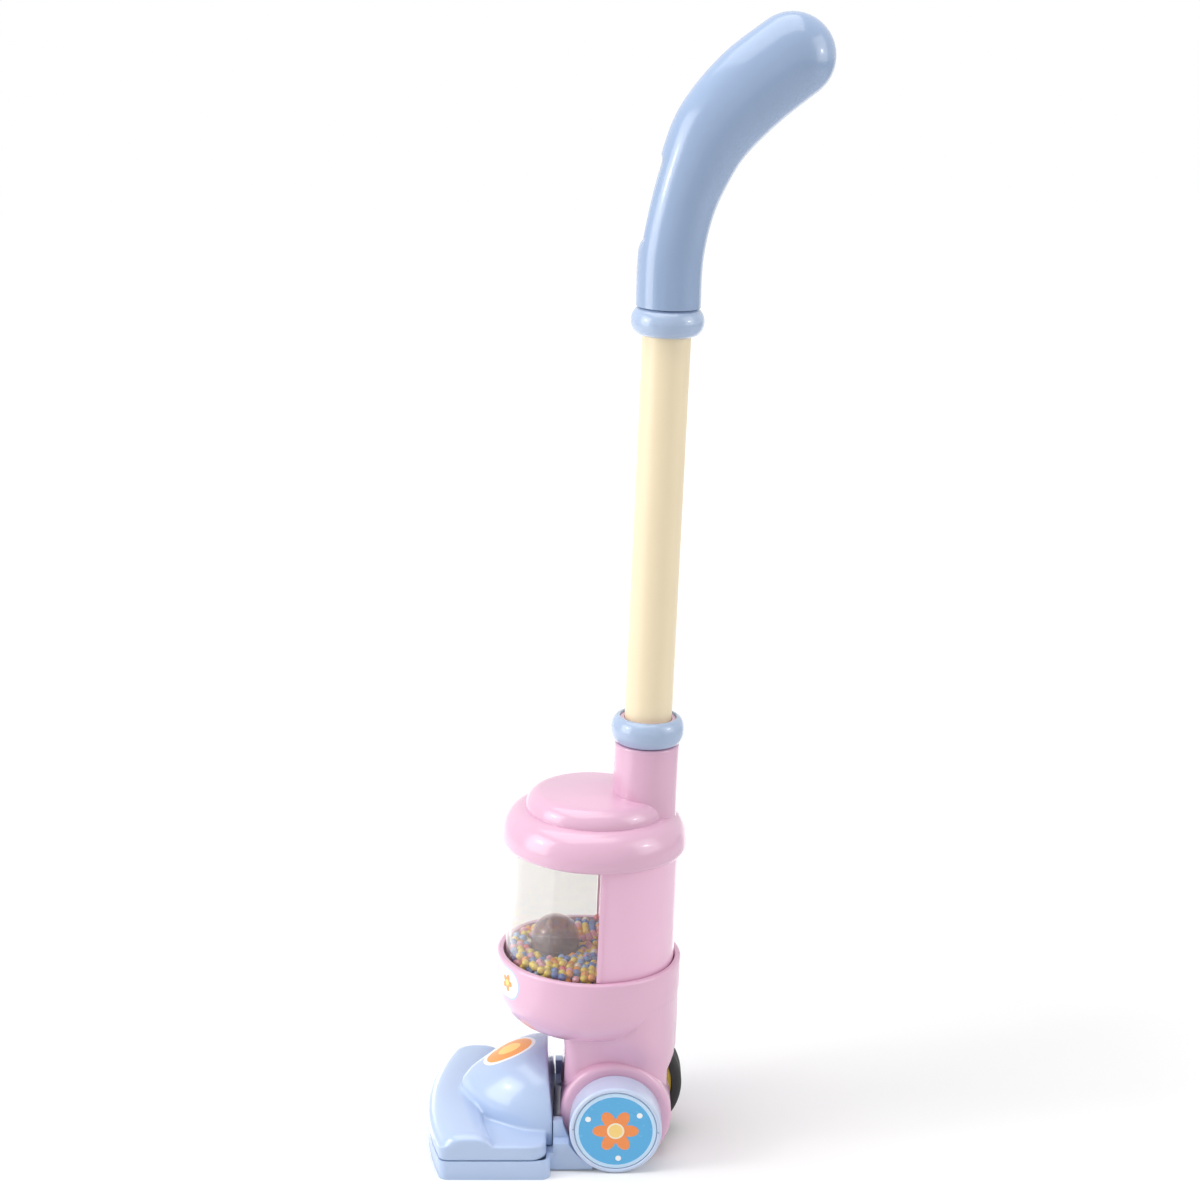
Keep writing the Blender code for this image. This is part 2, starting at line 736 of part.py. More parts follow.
def housing():
    """Bowl, column and wheel cheeks, moulded in two halves that screw together."""
    middle = (0.0, -body_axis_forward)
    whole = turned("housing", bowl_profile(), round_steps, middle)
    column_foot = -drive_wheel_radius
    join(whole, slab("column", column_outline(0.0), column_foot, bowl_arc_level))
    join(whole, cheek("cheeks", cheek_radius, cheek_face, cheek_edge))
    cut(whole, sweep_trim())

    cut(whole, turned("gear_room", gear_room_profile(), round_steps, middle))
    well = slab("wheel_well", column_outline(shell_wall), column_foot - overrun, well_ceiling_level)
    join(well, cheek("cheek_room", cheek_radius - shell_wall, cheek_inner_face, cheek_edge - shell_wall / 2))
    cut(whole, well)

    slot_half = drive_tyre_width / 2 + wheel_slot_side_gap
    far = bowl_radius * 2
    cut(whole, block("rear_slot", (-slot_half, 0.0, -far), (slot_half, far, wheel_slot_top)))
    cut(whole, block("front_slot", (-slot_half, -far, -far), (slot_half, 0.0, front_slot_top)))
    lug_gap = running_gap
    lug_outer = lug_inner + lug_thickness
    lug_top = yoke_middle_height + lug_radius - drive_wheel_radius + overrun
    for side in (1, -1):
        near, away = sorted((side * (lug_inner - lug_gap), side * (lug_outer + lug_gap)))
        cut(whole, block("lug_slot", (near, -far, -far), (away, -column_front + shell_wall + overrun, lug_top)))
        low, high = sorted((side * (lug_outer + lug_gap), side * (cheek_inner_face + shell_wall / 2)))
        join(whole, rod("axle_boss", boss_radius, low, high))
        low, high = sorted((side * (wheel_pin_root - seam_gap), side * (cheek_inner_face + shell_wall / 2)))
        pin_place = (-side_wheel_back, -side_wheel_drop)
        join(whole, rod("pin_boss", boss_radius, low, high, pin_place))
        low, high = sorted((side * wheel_pin_root, side * (cheek_face + overrun)))
        cut(whole, rod("pin_hole", axle_radius + half_gap, low, high, pin_place))
    cut(whole, rod("axle_hole", axle_radius + half_gap, -axle_reach - seam_gap, axle_reach + seam_gap))

    for place in ((0.0, -stirrer_forward), idler_place):
        join(whole, drum("shaft_boss", boss_radius, shaft_pocket_level() - seam_gap, shaft_boss_top(),
                         small_steps, place))
        cut(whole, drum("shaft_pocket", shaft_radius + seam_gap, shaft_pocket_level(),
                        shaft_boss_top() + overrun, tiny_steps, place))
    cut(whole, drum("layshaft_hole", shaft_radius + seam_gap, well_ceiling_level - overrun,
                    bowl_floor_level + shell_wall + overrun, tiny_steps, (layshaft_side, 0.0)))
    return whole


def housing_halves(upright):
    whole = housing()
    places = housing_screw_places()
    for place in places:
        screw_post(whole, place, housing_surface(place))
    split_in_halves(whole, "housing", pink(), upright)
    for number, place in enumerate(places, 1):
        screw("housing_screw_{}".format(number), upright, (-screw_seat() - screw_head_height, *place),
              (0.0, math.pi / 2, 0.0))


def housing_surface(place):
    """How far out a post may run at (y, z) and stay inside the wall."""
    if place[1] < bowl_floor_level:
        return column_half_width - shell_wall / 2
    rise = bowl_arc_level - place[1]
    level_radius = bowl_flat_radius + math.sqrt(max(bowl_fillet ** 2 - max(rise, 0.0) ** 2, 0.0)) - shell_wall / 2
    across = place[0] + body_axis_forward
    return math.sqrt(level_radius ** 2 - (abs(across) + post_radius) ** 2)


def screw_seat():
    """Distance of the head's seat from the seam."""
    return screw_length / 2 - screw_web


def screw_post(whole, place, surface):
    """Adds one screw post from wall to wall, with its hole and its head's seat."""
    join(whole, rod("post", post_radius, -surface, surface, place))
    cut(whole, rod("screw_hole", screw_shank_radius + seam_gap, -screw_seat() - overrun,
                   screw_length - screw_seat() + overrun, place, tiny_steps))
    cut(whole, rod("head_hole", screw_head_radius + seam_gap, -bowl_radius * 2, -screw_seat(), place))


def split_in_halves(whole, name, material, parent):
    """Parts a solid at the middle plane into a left and a right moulding."""
    far = 2 * (grip_foot_level + grip_rise)
    for side_name, side in (("left", 1), ("right", -1)):
        half = whole.copy()
        half.data = whole.data.copy()
        half.name = name + "_" + side_name
        bpy.context.collection.objects.link(half)
        low, high = sorted((side * half_gap, side * far))
        keep(half, block("side", (low, -far, -far), (high, far, far)))
        finish(half, material, parent)
    bpy.data.objects.remove(whole, do_unlink=True)


def ring_sector(name, inner, outer, start_degrees, end_degrees, low, high, steps):
    """A curved wall about the body axis between two compass angles."""
    middle = (0.0, -body_axis_forward)
    outline = [*arc(middle, (outer, outer), start_degrees, end_degrees, steps),
               *arc(middle, (inner, inner), end_degrees, start_degrees, steps)]
    return slab(name, outline, low, high)


def canister(upright):
    """Rear shell, clear window and the floor that the beads lie on."""
    middle = (0.0, -body_axis_forward)
    start = window_side_degrees
    shell = ring_sector("rear_shell", canister_radius - shell_wall, canister_radius,
                        start, 180 - start, canister_foot_level, canister_top_level, round_steps // 2)
    strip_turn = math.degrees(edge_strip_width / canister_radius)
    strip_low = bowl_rim_level + seam_gap
    strip_high = cover_bottom_level - seam_gap
    for low, high in ((start, start + strip_turn), (180 - start - strip_turn, 180 - start)):
        join(shell, ring_sector("strip", canister_radius - shell_wall / 2, canister_radius + edge_strip_height,
                                low, high, strip_low, strip_high, corner_steps))
    finish(shell, pink(), upright)

    gap_turn = math.degrees(seam_gap / window_radius)
    window = ring_sector("bead_window", window_radius - window_wall, window_radius,
                         180 - start + gap_turn, 360 + start - gap_turn,
                         canister_foot_level, canister_top_level, round_steps // 2)
    finish(window, clear(), upright)

    floor = drum("chamber_floor", bowl_inner_radius - seam_gap, chamber_floor_level,
                 chamber_floor_level + chamber_floor_thickness, round_steps, middle)
    below = chamber_floor_level - overrun
    through = chamber_floor_level + chamber_floor_thickness + overrun
    blind = chamber_floor_level + chamber_floor_thickness / 2 + seam_gap
    for place, top in (((0.0, -stirrer_forward), through), ((layshaft_side, 0.0), blind), (idler_place, blind)):
        cut(floor, drum("shaft_hole", shaft_radius + seam_gap, below, top, tiny_steps, place))
    finish(floor, white(), upright)


def bead_fill(upright):
    """The heap of beads, as one solid with a well round the stirrer."""
    middle = (0.0, -body_axis_forward)
    radius = window_radius - window_wall - seam_gap
    foot = canister_foot_level + seam_gap
    edge = bead_diameter / 2
    profile = [(0.0, foot), (radius, foot), (radius, bead_level - edge), (radius - edge, bead_level),
               (0.0, bead_level)]
    heap = turned("bead_fill", profile, round_steps, middle)
    cut(heap, drum("well", dome_radius + running_gap, foot - overrun, bead_level + overrun,
                   small_steps + small_steps // 2, (0.0, -stirrer_forward)))
    finish(heap, paint("beads", (0.85, 0.65, 0.30), 0.35), upright)


def cover_outer():
    """Outer outline of the lid: a rolled flange below a raised disc."""
    widest = (cover_radius, cover_widest_level)
    skirt = bowl_inner_radius + shell_wall * 0.7
    flange_low = arc((skirt, widest[1]), (widest[0] - skirt, widest[1] - cover_bottom_level), -90, 0)
    flange_high = arc((cover_crease_radius, widest[1]),
                      (widest[0] - cover_crease_radius, cover_crease_level - widest[1]), 0, 90)
    disc_rise = cover_top_level - cover_crease_level
    disc = arc((cover_disc_radius - cover_disc_round, cover_crease_level),
               (cover_disc_round, disc_rise * 0.88), 0, 90)
    return [*flange_low, *flange_high[1:], *disc, (0.0, cover_top_level)]


def cover_inner():
    """Inner outline of the lid, from its crown down to its seat on the canister."""
    seat = canister_radius + seam_gap
    seat_top = canister_top_level + seam_gap
    inner_disc = cover_disc_radius - shell_wall
    disc_rise = cover_top_level - cover_crease_level
    widest = cover_radius - shell_wall
    crown = cover_top_level - shell_wall
    disc = arc((cover_disc_radius - cover_disc_round, cover_crease_level - shell_wall),
               (cover_disc_round - shell_wall, disc_rise * 0.88), 90, 0, inner_steps)
    flange = arc((cover_crease_radius - shell_wall, cover_widest_level),
                 (widest - cover_crease_radius + shell_wall, cover_crease_level - shell_wall - cover_widest_level),
                 90, 0, inner_steps)
    ledge = seat - cover_ledge_depth
    return [(0.0, crown), *disc, (inner_disc, cover_crease_level - shell_wall), *flange[1:],
            (ledge, seat_top + cover_ledge_thickness), (ledge, seat_top), (seat, seat_top), (seat, cover_bottom_level)]


def top_cover(upright):
    """Lid of the canister with the neck that takes the handle tube."""
    cover = turned("top_cover", [*cover_outer()[::-1], *cover_inner()[::-1]][::-1], round_steps,
                   (0.0, -body_axis_forward))
    neck_middle = (0.0, neck_y)
    spigot = tube_radius + seam_gap + spigot_wall
    top = neck_top_level
    profile = [(0.0, neck_root_level), (neck_radius + neck_flare, neck_root_level), (neck_radius, cover_top_level),
               (neck_radius, top), (spigot, top), (spigot, top + spigot_height), (0.0, top + spigot_height)]
    join(cover, turned("neck", profile, wheel_steps, neck_middle))
    cut(cover, drum("tube_seat", tube_radius + seam_gap, tube_foot_level - seam_gap,
                    top + spigot_height + overrun, wheel_steps, neck_middle))
    cut(cover, drum("neck_room", neck_radius - shell_wall, neck_root_level - overrun,
                    tube_foot_level - seam_gap - shell_wall, wheel_steps, neck_middle))
    finish(cover, pink(), upright)


def collar(name, inner, outer, low, upright):
    """A rounded ring about the tube's axis."""
    high = low + collar_height
    half = collar_height / 2
    profile = [(inner, low), *arc((outer - collar_bulge, low + half), (collar_bulge, half), -90, 90),
               (inner, high)]
    ring = turned(name, profile, wheel_steps, (0.0, neck_y))
    finish(ring, blue(), upright)


def tube_and_collars(upright):
    """Ivory handle tube with a blue ring at each end."""
    bore = tube_radius - tube_wall
    tube = turned("handle_tube", [(bore, tube_foot_level), (tube_radius, tube_foot_level),
                                  (tube_radius, tube_top_level), (bore, tube_top_level)],
                  wheel_steps, (0.0, neck_y))
    finish(tube, ivory(), upright)
    spigot = tube_radius + seam_gap + spigot_wall
    collar("socket_collar", spigot + seam_gap, socket_collar_radius, collar_foot_level, upright)
    collar("grip_collar", tube_radius + seam_gap, grip_collar_radius, grip_collar_level, upright)


def blended(values, position):
    """Smooth value at a position along a list, through every entry."""
    last = len(values) - 1
    index = min(int(position), last - 1)
    part = position - index
    before = values[max(index - 1, 0)]
    here, there = values[index], values[index + 1]
    after = values[min(index + 2, last)]
    return 0.5 * (2 * here + (there - before) * part
                  + (2 * before - 5 * here + 4 * there - after) * part ** 2
                  + (3 * here - before - 3 * there + after) * part ** 3)


def grip_station(position):
    """Place, direction and half sizes of the grip at a position along its spine."""
    rises = [row[0] for row in grip_spine_shares]
    backs = [row[1] for row in grip_spine_shares]
    swells = [row[2] for row in grip_spine_shares]
    swell = blended(swells, position)
    place = Vector((neck_y + grip_reach * blended(backs, position),
                    grip_foot_level + grip_rise * blended(rises, position)))
    step = 0.01
    last = len(rises) - 1
    low, high = max(position - step, 0.0), min(position + step, float(last))
    run = Vector((grip_reach * (blended(backs, high) - blended(backs, low)),
                  grip_rise * (blended(rises, high) - blended(rises, low))))
    run.normalize()
    depth = grip_foot_depth + (grip_head_depth - grip_foot_depth) * swell
    width = grip_foot_width + (grip_head_width - grip_foot_width) * swell
    return place, run, depth, width


def grip_position(share):
    """Position along the spine where the rise reaches a share of the whole."""
    rises = [row[0] for row in grip_spine_shares]
    for index, (here, there) in enumerate(zip(rises, rises[1:])):
        if share <= there:
            return index + (share - here) / (there - here)
    return float(len(rises) - 1)


def grip_ring(place, run, depth, width):
    """One closed ring of the grip, square to its spine."""
    front = Vector((-run.y, run.x))
    points = []
    for index in range(2 * side_steps):
        turn = math.pi * (index + 0.5) / side_steps
        flat = place + front * (depth * math.cos(turn))
        points.append((width * math.sin(turn), flat.x, flat.y))
    return points


def grip_skin(thickness):
    """A closed skin that follows the grip's spine, at a depth below its surface."""
    spans = len(grip_spine_shares) - 1
    rings = []
    for index in range(spans * spine_steps + 1):
        place, run, depth, width = grip_station(index / spine_steps)
        if index == 0 and thickness > 0:
            place = place - run * overrun
        rings.append(grip_ring(place, run, depth - thickness, width - thickness))
    place, run, depth, width = grip_station(float(spans))
    depth, width = depth - thickness, width - thickness
    for index in range(1, arc_steps):
        turn = math.pi / 2 * index / arc_steps
        rings.append(grip_ring(place + run * (depth * math.sin(turn)), run,
                               depth * math.cos(turn), width * math.cos(turn)))
    return lofted("grip", rings)


def grip_body():
    """The whole grip: a hollow head and a solid foot that holds the tube."""
    body = grip_skin(0.0)
    room = grip_skin(grip_wall)
    level = tube_top_level + seam_gap
    far = bowl_radius * 2
    cut(room, block("foot", (-far, -far, 0.0), (far, far, level)))
    cut(body, room)
    cut(body, drum("bore", tube_radius + seam_gap, grip_foot_level - overrun, level + overrun,
                   wheel_steps, (0.0, neck_y)))
    return body


def recess_cutter():
    """A shallow trough along the front of the grip, for the fingers."""
    start, end = (grip_position(share) for share in recess_shares)
    steps = 10
    rings = []
    for index in range(steps + 1):
        place, run, depth, _ = grip_station(start + (end - start) * index / steps)
        front = Vector((-run.y, run.x))
        dip = recess_depth * min(1.0, 3 * math.sin(math.pi * index / steps))
        floor = place + front * (depth - dip)
        mouth = place + front * (depth + overrun)
        half = recess_half_width
        rings.append([(-half, mouth.x, mouth.y), (half, mouth.x, mouth.y),
                      (half, floor.x, floor.y), (-half, floor.x, floor.y)])
    return lofted("recess", rings)


def grip(upright):
    """Two moulded grip halves, held by three screws from the right."""
    whole = grip_body()
    cut(whole, recess_cutter())
    places = []
    for share in grip_screw_shares:
        place, _, _, width = grip_station(grip_position(share))
        places.append((place.x, place.y))
        screw_post(whole, (place.x, place.y), width - grip_wall / 2)
    split_in_halves(whole, "grip", blue(), upright)
    for number, place in enumerate(places, 1):
        screw("grip_screw_{}".format(number), upright, (-screw_seat() - screw_head_height, *place),
              (0.0, math.pi / 2, 0.0))


def nozzle_front(x):
    """Y of the bowed front edge at a distance x from the middle."""
    return -nozzle_reach + nozzle_bow * (x / nozzle_half_width) ** 2


def nozzle_outline(inset):
    """Plan of the nozzle: bowed front, rounded rear corners."""
    half = nozzle_half_width - inset
    rear = -nozzle_rear - inset
    corner = nozzle_corner - min(inset, nozzle_corner / 2)
    steps = 12
    front = []
    for index in range(steps + 1):
        x = -half + corner + 2 * (half - corner) * index / steps
        front.append((x, nozzle_front(x) + inset))
    low_right = arc((half - corner, front[-1][1] + corner), (corner, corner), -90, 0, corner_steps)
    high_right = arc((half - corner, rear - corner), (corner, corner), 0, 90, corner_steps)
    high_left = arc((-half + corner, rear - corner), (corner, corner), 90, 180, corner_steps)
    low_left = arc((-half + corner, front[0][1] + corner), (corner, corner), 180, 270, corner_steps)
    return [*front, *low_right[1:], *high_right, *high_left, *low_left[:-1]]


def rounded_slab(name, outline, low, high, edge):
    """An extruded outline whose top edge is rounded."""
    plate = slab(name, outline, low, high)
    form = bmesh.new()
    form.from_mesh(plate.data)
    top = [item for item in form.edges if all(abs(v.co.z - high) < weld_distance for v in item.verts)]
    bmesh.ops.bevel(form, geom=top, offset=edge, segments=3, profile=0.5, affect="EDGES", clamp_overlap=True)
    form.to_mesh(plate.data)
    form.free()
    return plate


def front_bar(inset):
    """The half-round bar along the front, which follows the bowed edge."""
    foot = nozzle_base_height + seam_gap - inset / 2
    waist = (nozzle_base_height + nozzle_shelf_height) / 2
    half = bar_depth / 2 - inset
    rise = bar_height - waist - inset
    reach = nozzle_half_width - inset
    round_off = nozzle_edge_round
    stations = [-reach, -reach + round_off / 2, -reach + round_off * 2]
    steps = 6
    stations += [(-reach + round_off * 2) * (1 - 2 * index / steps) for index in range(1, steps)]
    stations += [reach - round_off * 2, reach - round_off / 2, reach]
    rings = []
    for x in stations:
        end = max(0.0, 1 - (reach - abs(x)) / (round_off * 2))
        shrink = round_off * end ** 2
        centre = nozzle_front(x) + bar_setback + bar_depth / 2
        ring = [(x, centre - half + shrink, foot), *[
            (x, centre + (half - shrink) * math.copysign(abs(math.cos(turn)) ** 0.75, math.cos(turn)),
             waist + (rise - shrink) * math.sin(turn) ** 0.75)
            for turn in (math.pi - math.pi * index / 12 for index in range(13))],
            (x, centre + half - shrink, foot)]
        rings.append(ring)
    return lofted("bar", rings)


def hump(inset):
    """The tall middle of the nozzle, widening and rising to the rear."""
    foot = nozzle_base_height + seam_gap - inset * 2
    length = hump_front - hump_rear
    last = len(hump_shares) - 1
    steps = 16
    sides = 16
    along = [row[0] for row in hump_shares]
    widths = [row[1] for row in hump_shares]
    heights = [row[2] for row in hump_shares]
    rings = []
    for index in range(steps + 1):
        position = last * index / steps
        share = blended(along, position)
        y = -hump_front + length * share
        y += inset * (1 - 2 * share)
        half = hump_half_width * blended(widths, position) - inset
        top = hump_height * blended(heights, position) - inset
        lean_back = hump_rear_slope * share ** 3 / (hump_height - yoke_height)
        ring = []
        for side in range(sides + 1):
            turn = math.pi * side / sides
            x = half * math.copysign(abs(math.cos(turn)) ** 0.7, math.cos(turn))
            z = foot + (top - foot) * math.sin(turn) ** 0.62 if 0 < side < sides else foot
            ring.append((x, y + lean_back * (hump_height - max(z, yoke_height)), z))
        rings.append(ring)
    return lofted("hump", rings)


def nozzle_screw_places():
    """Where the four base screws stand, and the outer height of the shell over each."""
    places = []
    for (across, along), height in zip(base_screw_shares, (bar_height, nozzle_shelf_height)):
        y = -nozzle_rear - (nozzle_reach - nozzle_rear) * along
        for side in (1, -1):
            places.append(((side * nozzle_half_width * across, y), height))
    return places


def nozzle_top(root):
    """Upper shell of the nozzle: shelf, front bar and hump over one hollow."""
    low = nozzle_base_height + seam_gap
    shell = rounded_slab("nozzle_top", nozzle_outline(0.0), low, nozzle_shelf_height, nozzle_edge_round)
    join(shell, front_bar(0.0))
    join(shell, hump(0.0))
    room = slab("room", nozzle_outline(shell_wall), low - overrun, nozzle_shelf_height - shell_wall)
    join(room, front_bar(shell_wall + seam_gap))
    join(room, hump(shell_wall + seam_gap))
    cut(shell, room)
    for place, height in nozzle_screw_places():
        join(shell, drum("post", post_radius, nozzle_floor + seam_gap, height - shell_wall / 2,
                         small_steps, place))
        pilot_top = screw_length + nozzle_floor
        cut(shell, drum("pilot", screw_shank_radius + seam_gap, 0.0, pilot_top, tiny_steps, place))
    finish(shell, blue(), root)


def yoke():
    """Rear of the base: a block between two arms, cut back round the wheels and the column."""
    joint = -nozzle_rear - nozzle_corner
    rear = block("yoke", (-hump_half_width, joint, arm_floor_gap),
                 (hump_half_width, -arm_rear, yoke_height))
    join(rear, rounded_slab("arms", [(-arm_half_width, joint), (arm_half_width, joint),
                                     (arm_half_width, -arm_rear), (-arm_half_width, -arm_rear)],
                            arm_floor_gap, arm_height, arm_floor_gap))
    arch = side_wheel_radius + wheel_arch_gap
    inner = side_wheel_inner_face - running_gap
    far = nozzle_half_width * 2
    for side in (1, -1):
        low, high = sorted((side * inner, side * far))
        cut(rear, rod("arch", arch, low, high, (-side_wheel_back, side_wheel_radius), wheel_steps))
    across = inner + running_gap
    cut(rear, block("tail", (-far, -yoke_tail, -far), (far, far, far)))
    cut(rear, rod("sweep", cheek_front_sweep + yoke_sweep_gap, -across, across,
                  (0.0, drive_wheel_radius), round_steps))
    cut(rear, block("middle", (-across, -far, yoke_middle_height), (across, far, far)))
    cut(rear, block("under_hump", (-far, -far, nozzle_base_height), (far, hump_line(), far)))
    return rear


def hump_line():
    """Y just behind the foot of the hump."""
    return -hump_rear + hump_rear_slope + seam_gap


def lug(side):
    """A pivot lug from the yoke to the drive axle."""
    root = hump_line() + seam_gap
    foot = arm_floor_gap * 3
    eye = arc((0.0, drive_wheel_radius), (lug_radius, lug_radius), 120, -60, arc_steps)
    outline = [(root, foot), (root, yoke_middle_height - seam_gap), *eye]
    low, high = sorted((side * lug_inner, side * (lug_inner + lug_thickness)))
    return slab("lug", outline, low, high, "X")


def nozzle_base(root):
    """Tray under the nozzle, with the yoke, the pivot lugs and the suction slot."""
    base = slab("nozzle_base", nozzle_outline(0.0), 0.0, nozzle_base_height)
    cut(base, slab("tray", nozzle_outline(shell_wall), nozzle_floor, nozzle_base_height + overrun))
    join(base, yoke())
    for side in (1, -1):
        join(base, lug(side))
    cut(base, rod("pivot_hole", axle_radius + half_gap, -axle_reach, axle_reach, (0.0, drive_wheel_radius)))
    slot_front = nozzle_front(0.0) + shell_wall * 3
    cut(base, block("suction_slot", (-suction_slot_length / 2, slot_front, -overrun),
                    (suction_slot_length / 2, slot_front + suction_slot_width, nozzle_floor + overrun)))
    for place, _ in nozzle_screw_places():
        cut(base, drum("shank_hole", screw_shank_radius + seam_gap, -overrun, nozzle_floor + overrun,
                       tiny_steps, place))
        cut(base, drum("head_hole", screw_head_radius + seam_gap, -overrun, screw_head_height + seam_gap,
                       small_steps, place))
    finish(base, blue(), root)
    for number, (place, _) in enumerate(nozzle_screw_places(), 1):
        screw("base_screw_{}".format(number), root, (*place, seam_gap), (0.0, 0.0, 0.0))


def centre_on_floor(root):
    """Moves the whole toy so that the middle of its box is over the origin."""
    bpy.context.view_layer.update()
    corners = []
    for item in bpy.data.objects:
        if item.type == "MESH":
            corners += [item.matrix_world @ vertex.co for vertex in item.data.vertices]
    ys = [corner.y for corner in corners]
    root.location.y = -(min(ys) + max(ys)) / 2


def main():
    clear_scene()
    root = empty("toy_vacuum")
    nozzle_top(root)
    nozzle_base(root)
    upright = empty("upright", root)
    housing_halves(upright)
    drive_wheel(upright)
    gearbox(upright)
    stirrer(upright)
    side_wheels(upright)
    canister(upright)
    bead_fill(upright)
    top_cover(upright)
    tube_and_collars(upright)
    grip(upright)
    upright.location = (0.0, 0.0, drive_wheel_radius)
    upright.rotation_euler = (-lean, 0.0, 0.0)
    centre_on_floor(root)


main()
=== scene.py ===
"""Looks of the toy upright vacuum cleaner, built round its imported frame."""

import json
import math
import random

import bmesh
import bpy
from mathutils import Matrix, Vector, kdtree


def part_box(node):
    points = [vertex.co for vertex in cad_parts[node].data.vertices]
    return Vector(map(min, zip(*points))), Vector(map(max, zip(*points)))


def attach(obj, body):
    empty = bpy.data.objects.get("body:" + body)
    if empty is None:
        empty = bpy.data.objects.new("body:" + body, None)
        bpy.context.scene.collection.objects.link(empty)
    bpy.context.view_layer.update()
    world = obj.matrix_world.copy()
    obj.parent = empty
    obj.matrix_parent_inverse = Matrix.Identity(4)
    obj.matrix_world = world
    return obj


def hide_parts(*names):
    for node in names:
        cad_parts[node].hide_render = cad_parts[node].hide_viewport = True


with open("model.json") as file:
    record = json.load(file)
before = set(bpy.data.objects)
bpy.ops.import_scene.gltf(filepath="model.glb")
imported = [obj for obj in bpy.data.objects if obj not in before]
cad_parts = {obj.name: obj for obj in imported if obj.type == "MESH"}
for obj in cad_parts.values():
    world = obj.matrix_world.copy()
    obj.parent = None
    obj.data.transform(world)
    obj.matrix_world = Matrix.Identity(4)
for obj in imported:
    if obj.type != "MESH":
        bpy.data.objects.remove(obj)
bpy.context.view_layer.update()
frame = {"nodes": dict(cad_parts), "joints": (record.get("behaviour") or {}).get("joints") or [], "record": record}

# Joints of the frame give the two groups' places
joints = {joint["name"]: joint for joint in frame["joints"]}
hinge = Vector(joints["handle_tilt"]["pos_m"])
upright_axis = Vector(joints["stirrer_spin"]["axis"])
lean = math.atan2(upright_axis.y, upright_axis.z)
on_upright = Matrix.Translation(hinge) @ Matrix.Rotation(-lean, 4, "X")
on_nozzle = Matrix.Translation((0.0, hinge.y, 0.0))

# Sizes shared by several pieces, in metres; levels are above the hinge, along the upright
seam_gap = 0.0003
wall = 0.002
body_axis = -0.0213
neck_axis = 0.0039
bowl_radius = 0.0486
bowl_inner_radius = 0.0452
bowl_rim_level = 0.0730
bowl_floor_level = 0.0332
bowl_fillet = 0.024
canister_radius = 0.0447
window_radius = 0.0443
window_wall = 0.0016
chamber_ledge = 0.0584
canister_foot = 0.0610
canister_top = 0.1383
cover_bottom = 0.1330
neck_top = 0.1898
screw_head = 0.0027
screw_shank = 0.0012
screw_length = 0.0120
screw_seat = 0.0040
post_radius = 0.0040
far = bowl_radius * 2

# How many steps go round a curve
fine_steps = 128
round_steps = 96
post_steps = 32
hole_steps = 24


# Shader nodes

def operator(operation, swapped=False):
    """What an arithmetic sign does to signals: it adds one maths node."""
    return lambda signal, other: signal.call(operation, other, swapped=swapped)


class Signal:
    """A shader socket that can be used in arithmetic."""

    __add__ = __radd__ = operator("ADD")
    __sub__ = operator("SUBTRACT")
    __rsub__ = operator("SUBTRACT", swapped=True)
    __mul__ = operator("MULTIPLY")
    __truediv__ = operator("DIVIDE")
    __pow__ = operator("POWER")
    __lt__ = operator("LESS_THAN")
    __gt__ = operator("GREATER_THAN")

    def __init__(self, finish, socket):
        self.finish = finish
        self.socket = socket

    def call(self, operation, *others, swapped=False):
        values = (*others, self) if swapped else (self, *others)
        return self.finish.node("ShaderNodeMath", {"operation": operation}, dict(enumerate(values)))

    def part(self, name):
        """Another output of the same node, by name."""
        return Signal(self.finish, self.socket.node.outputs[name])


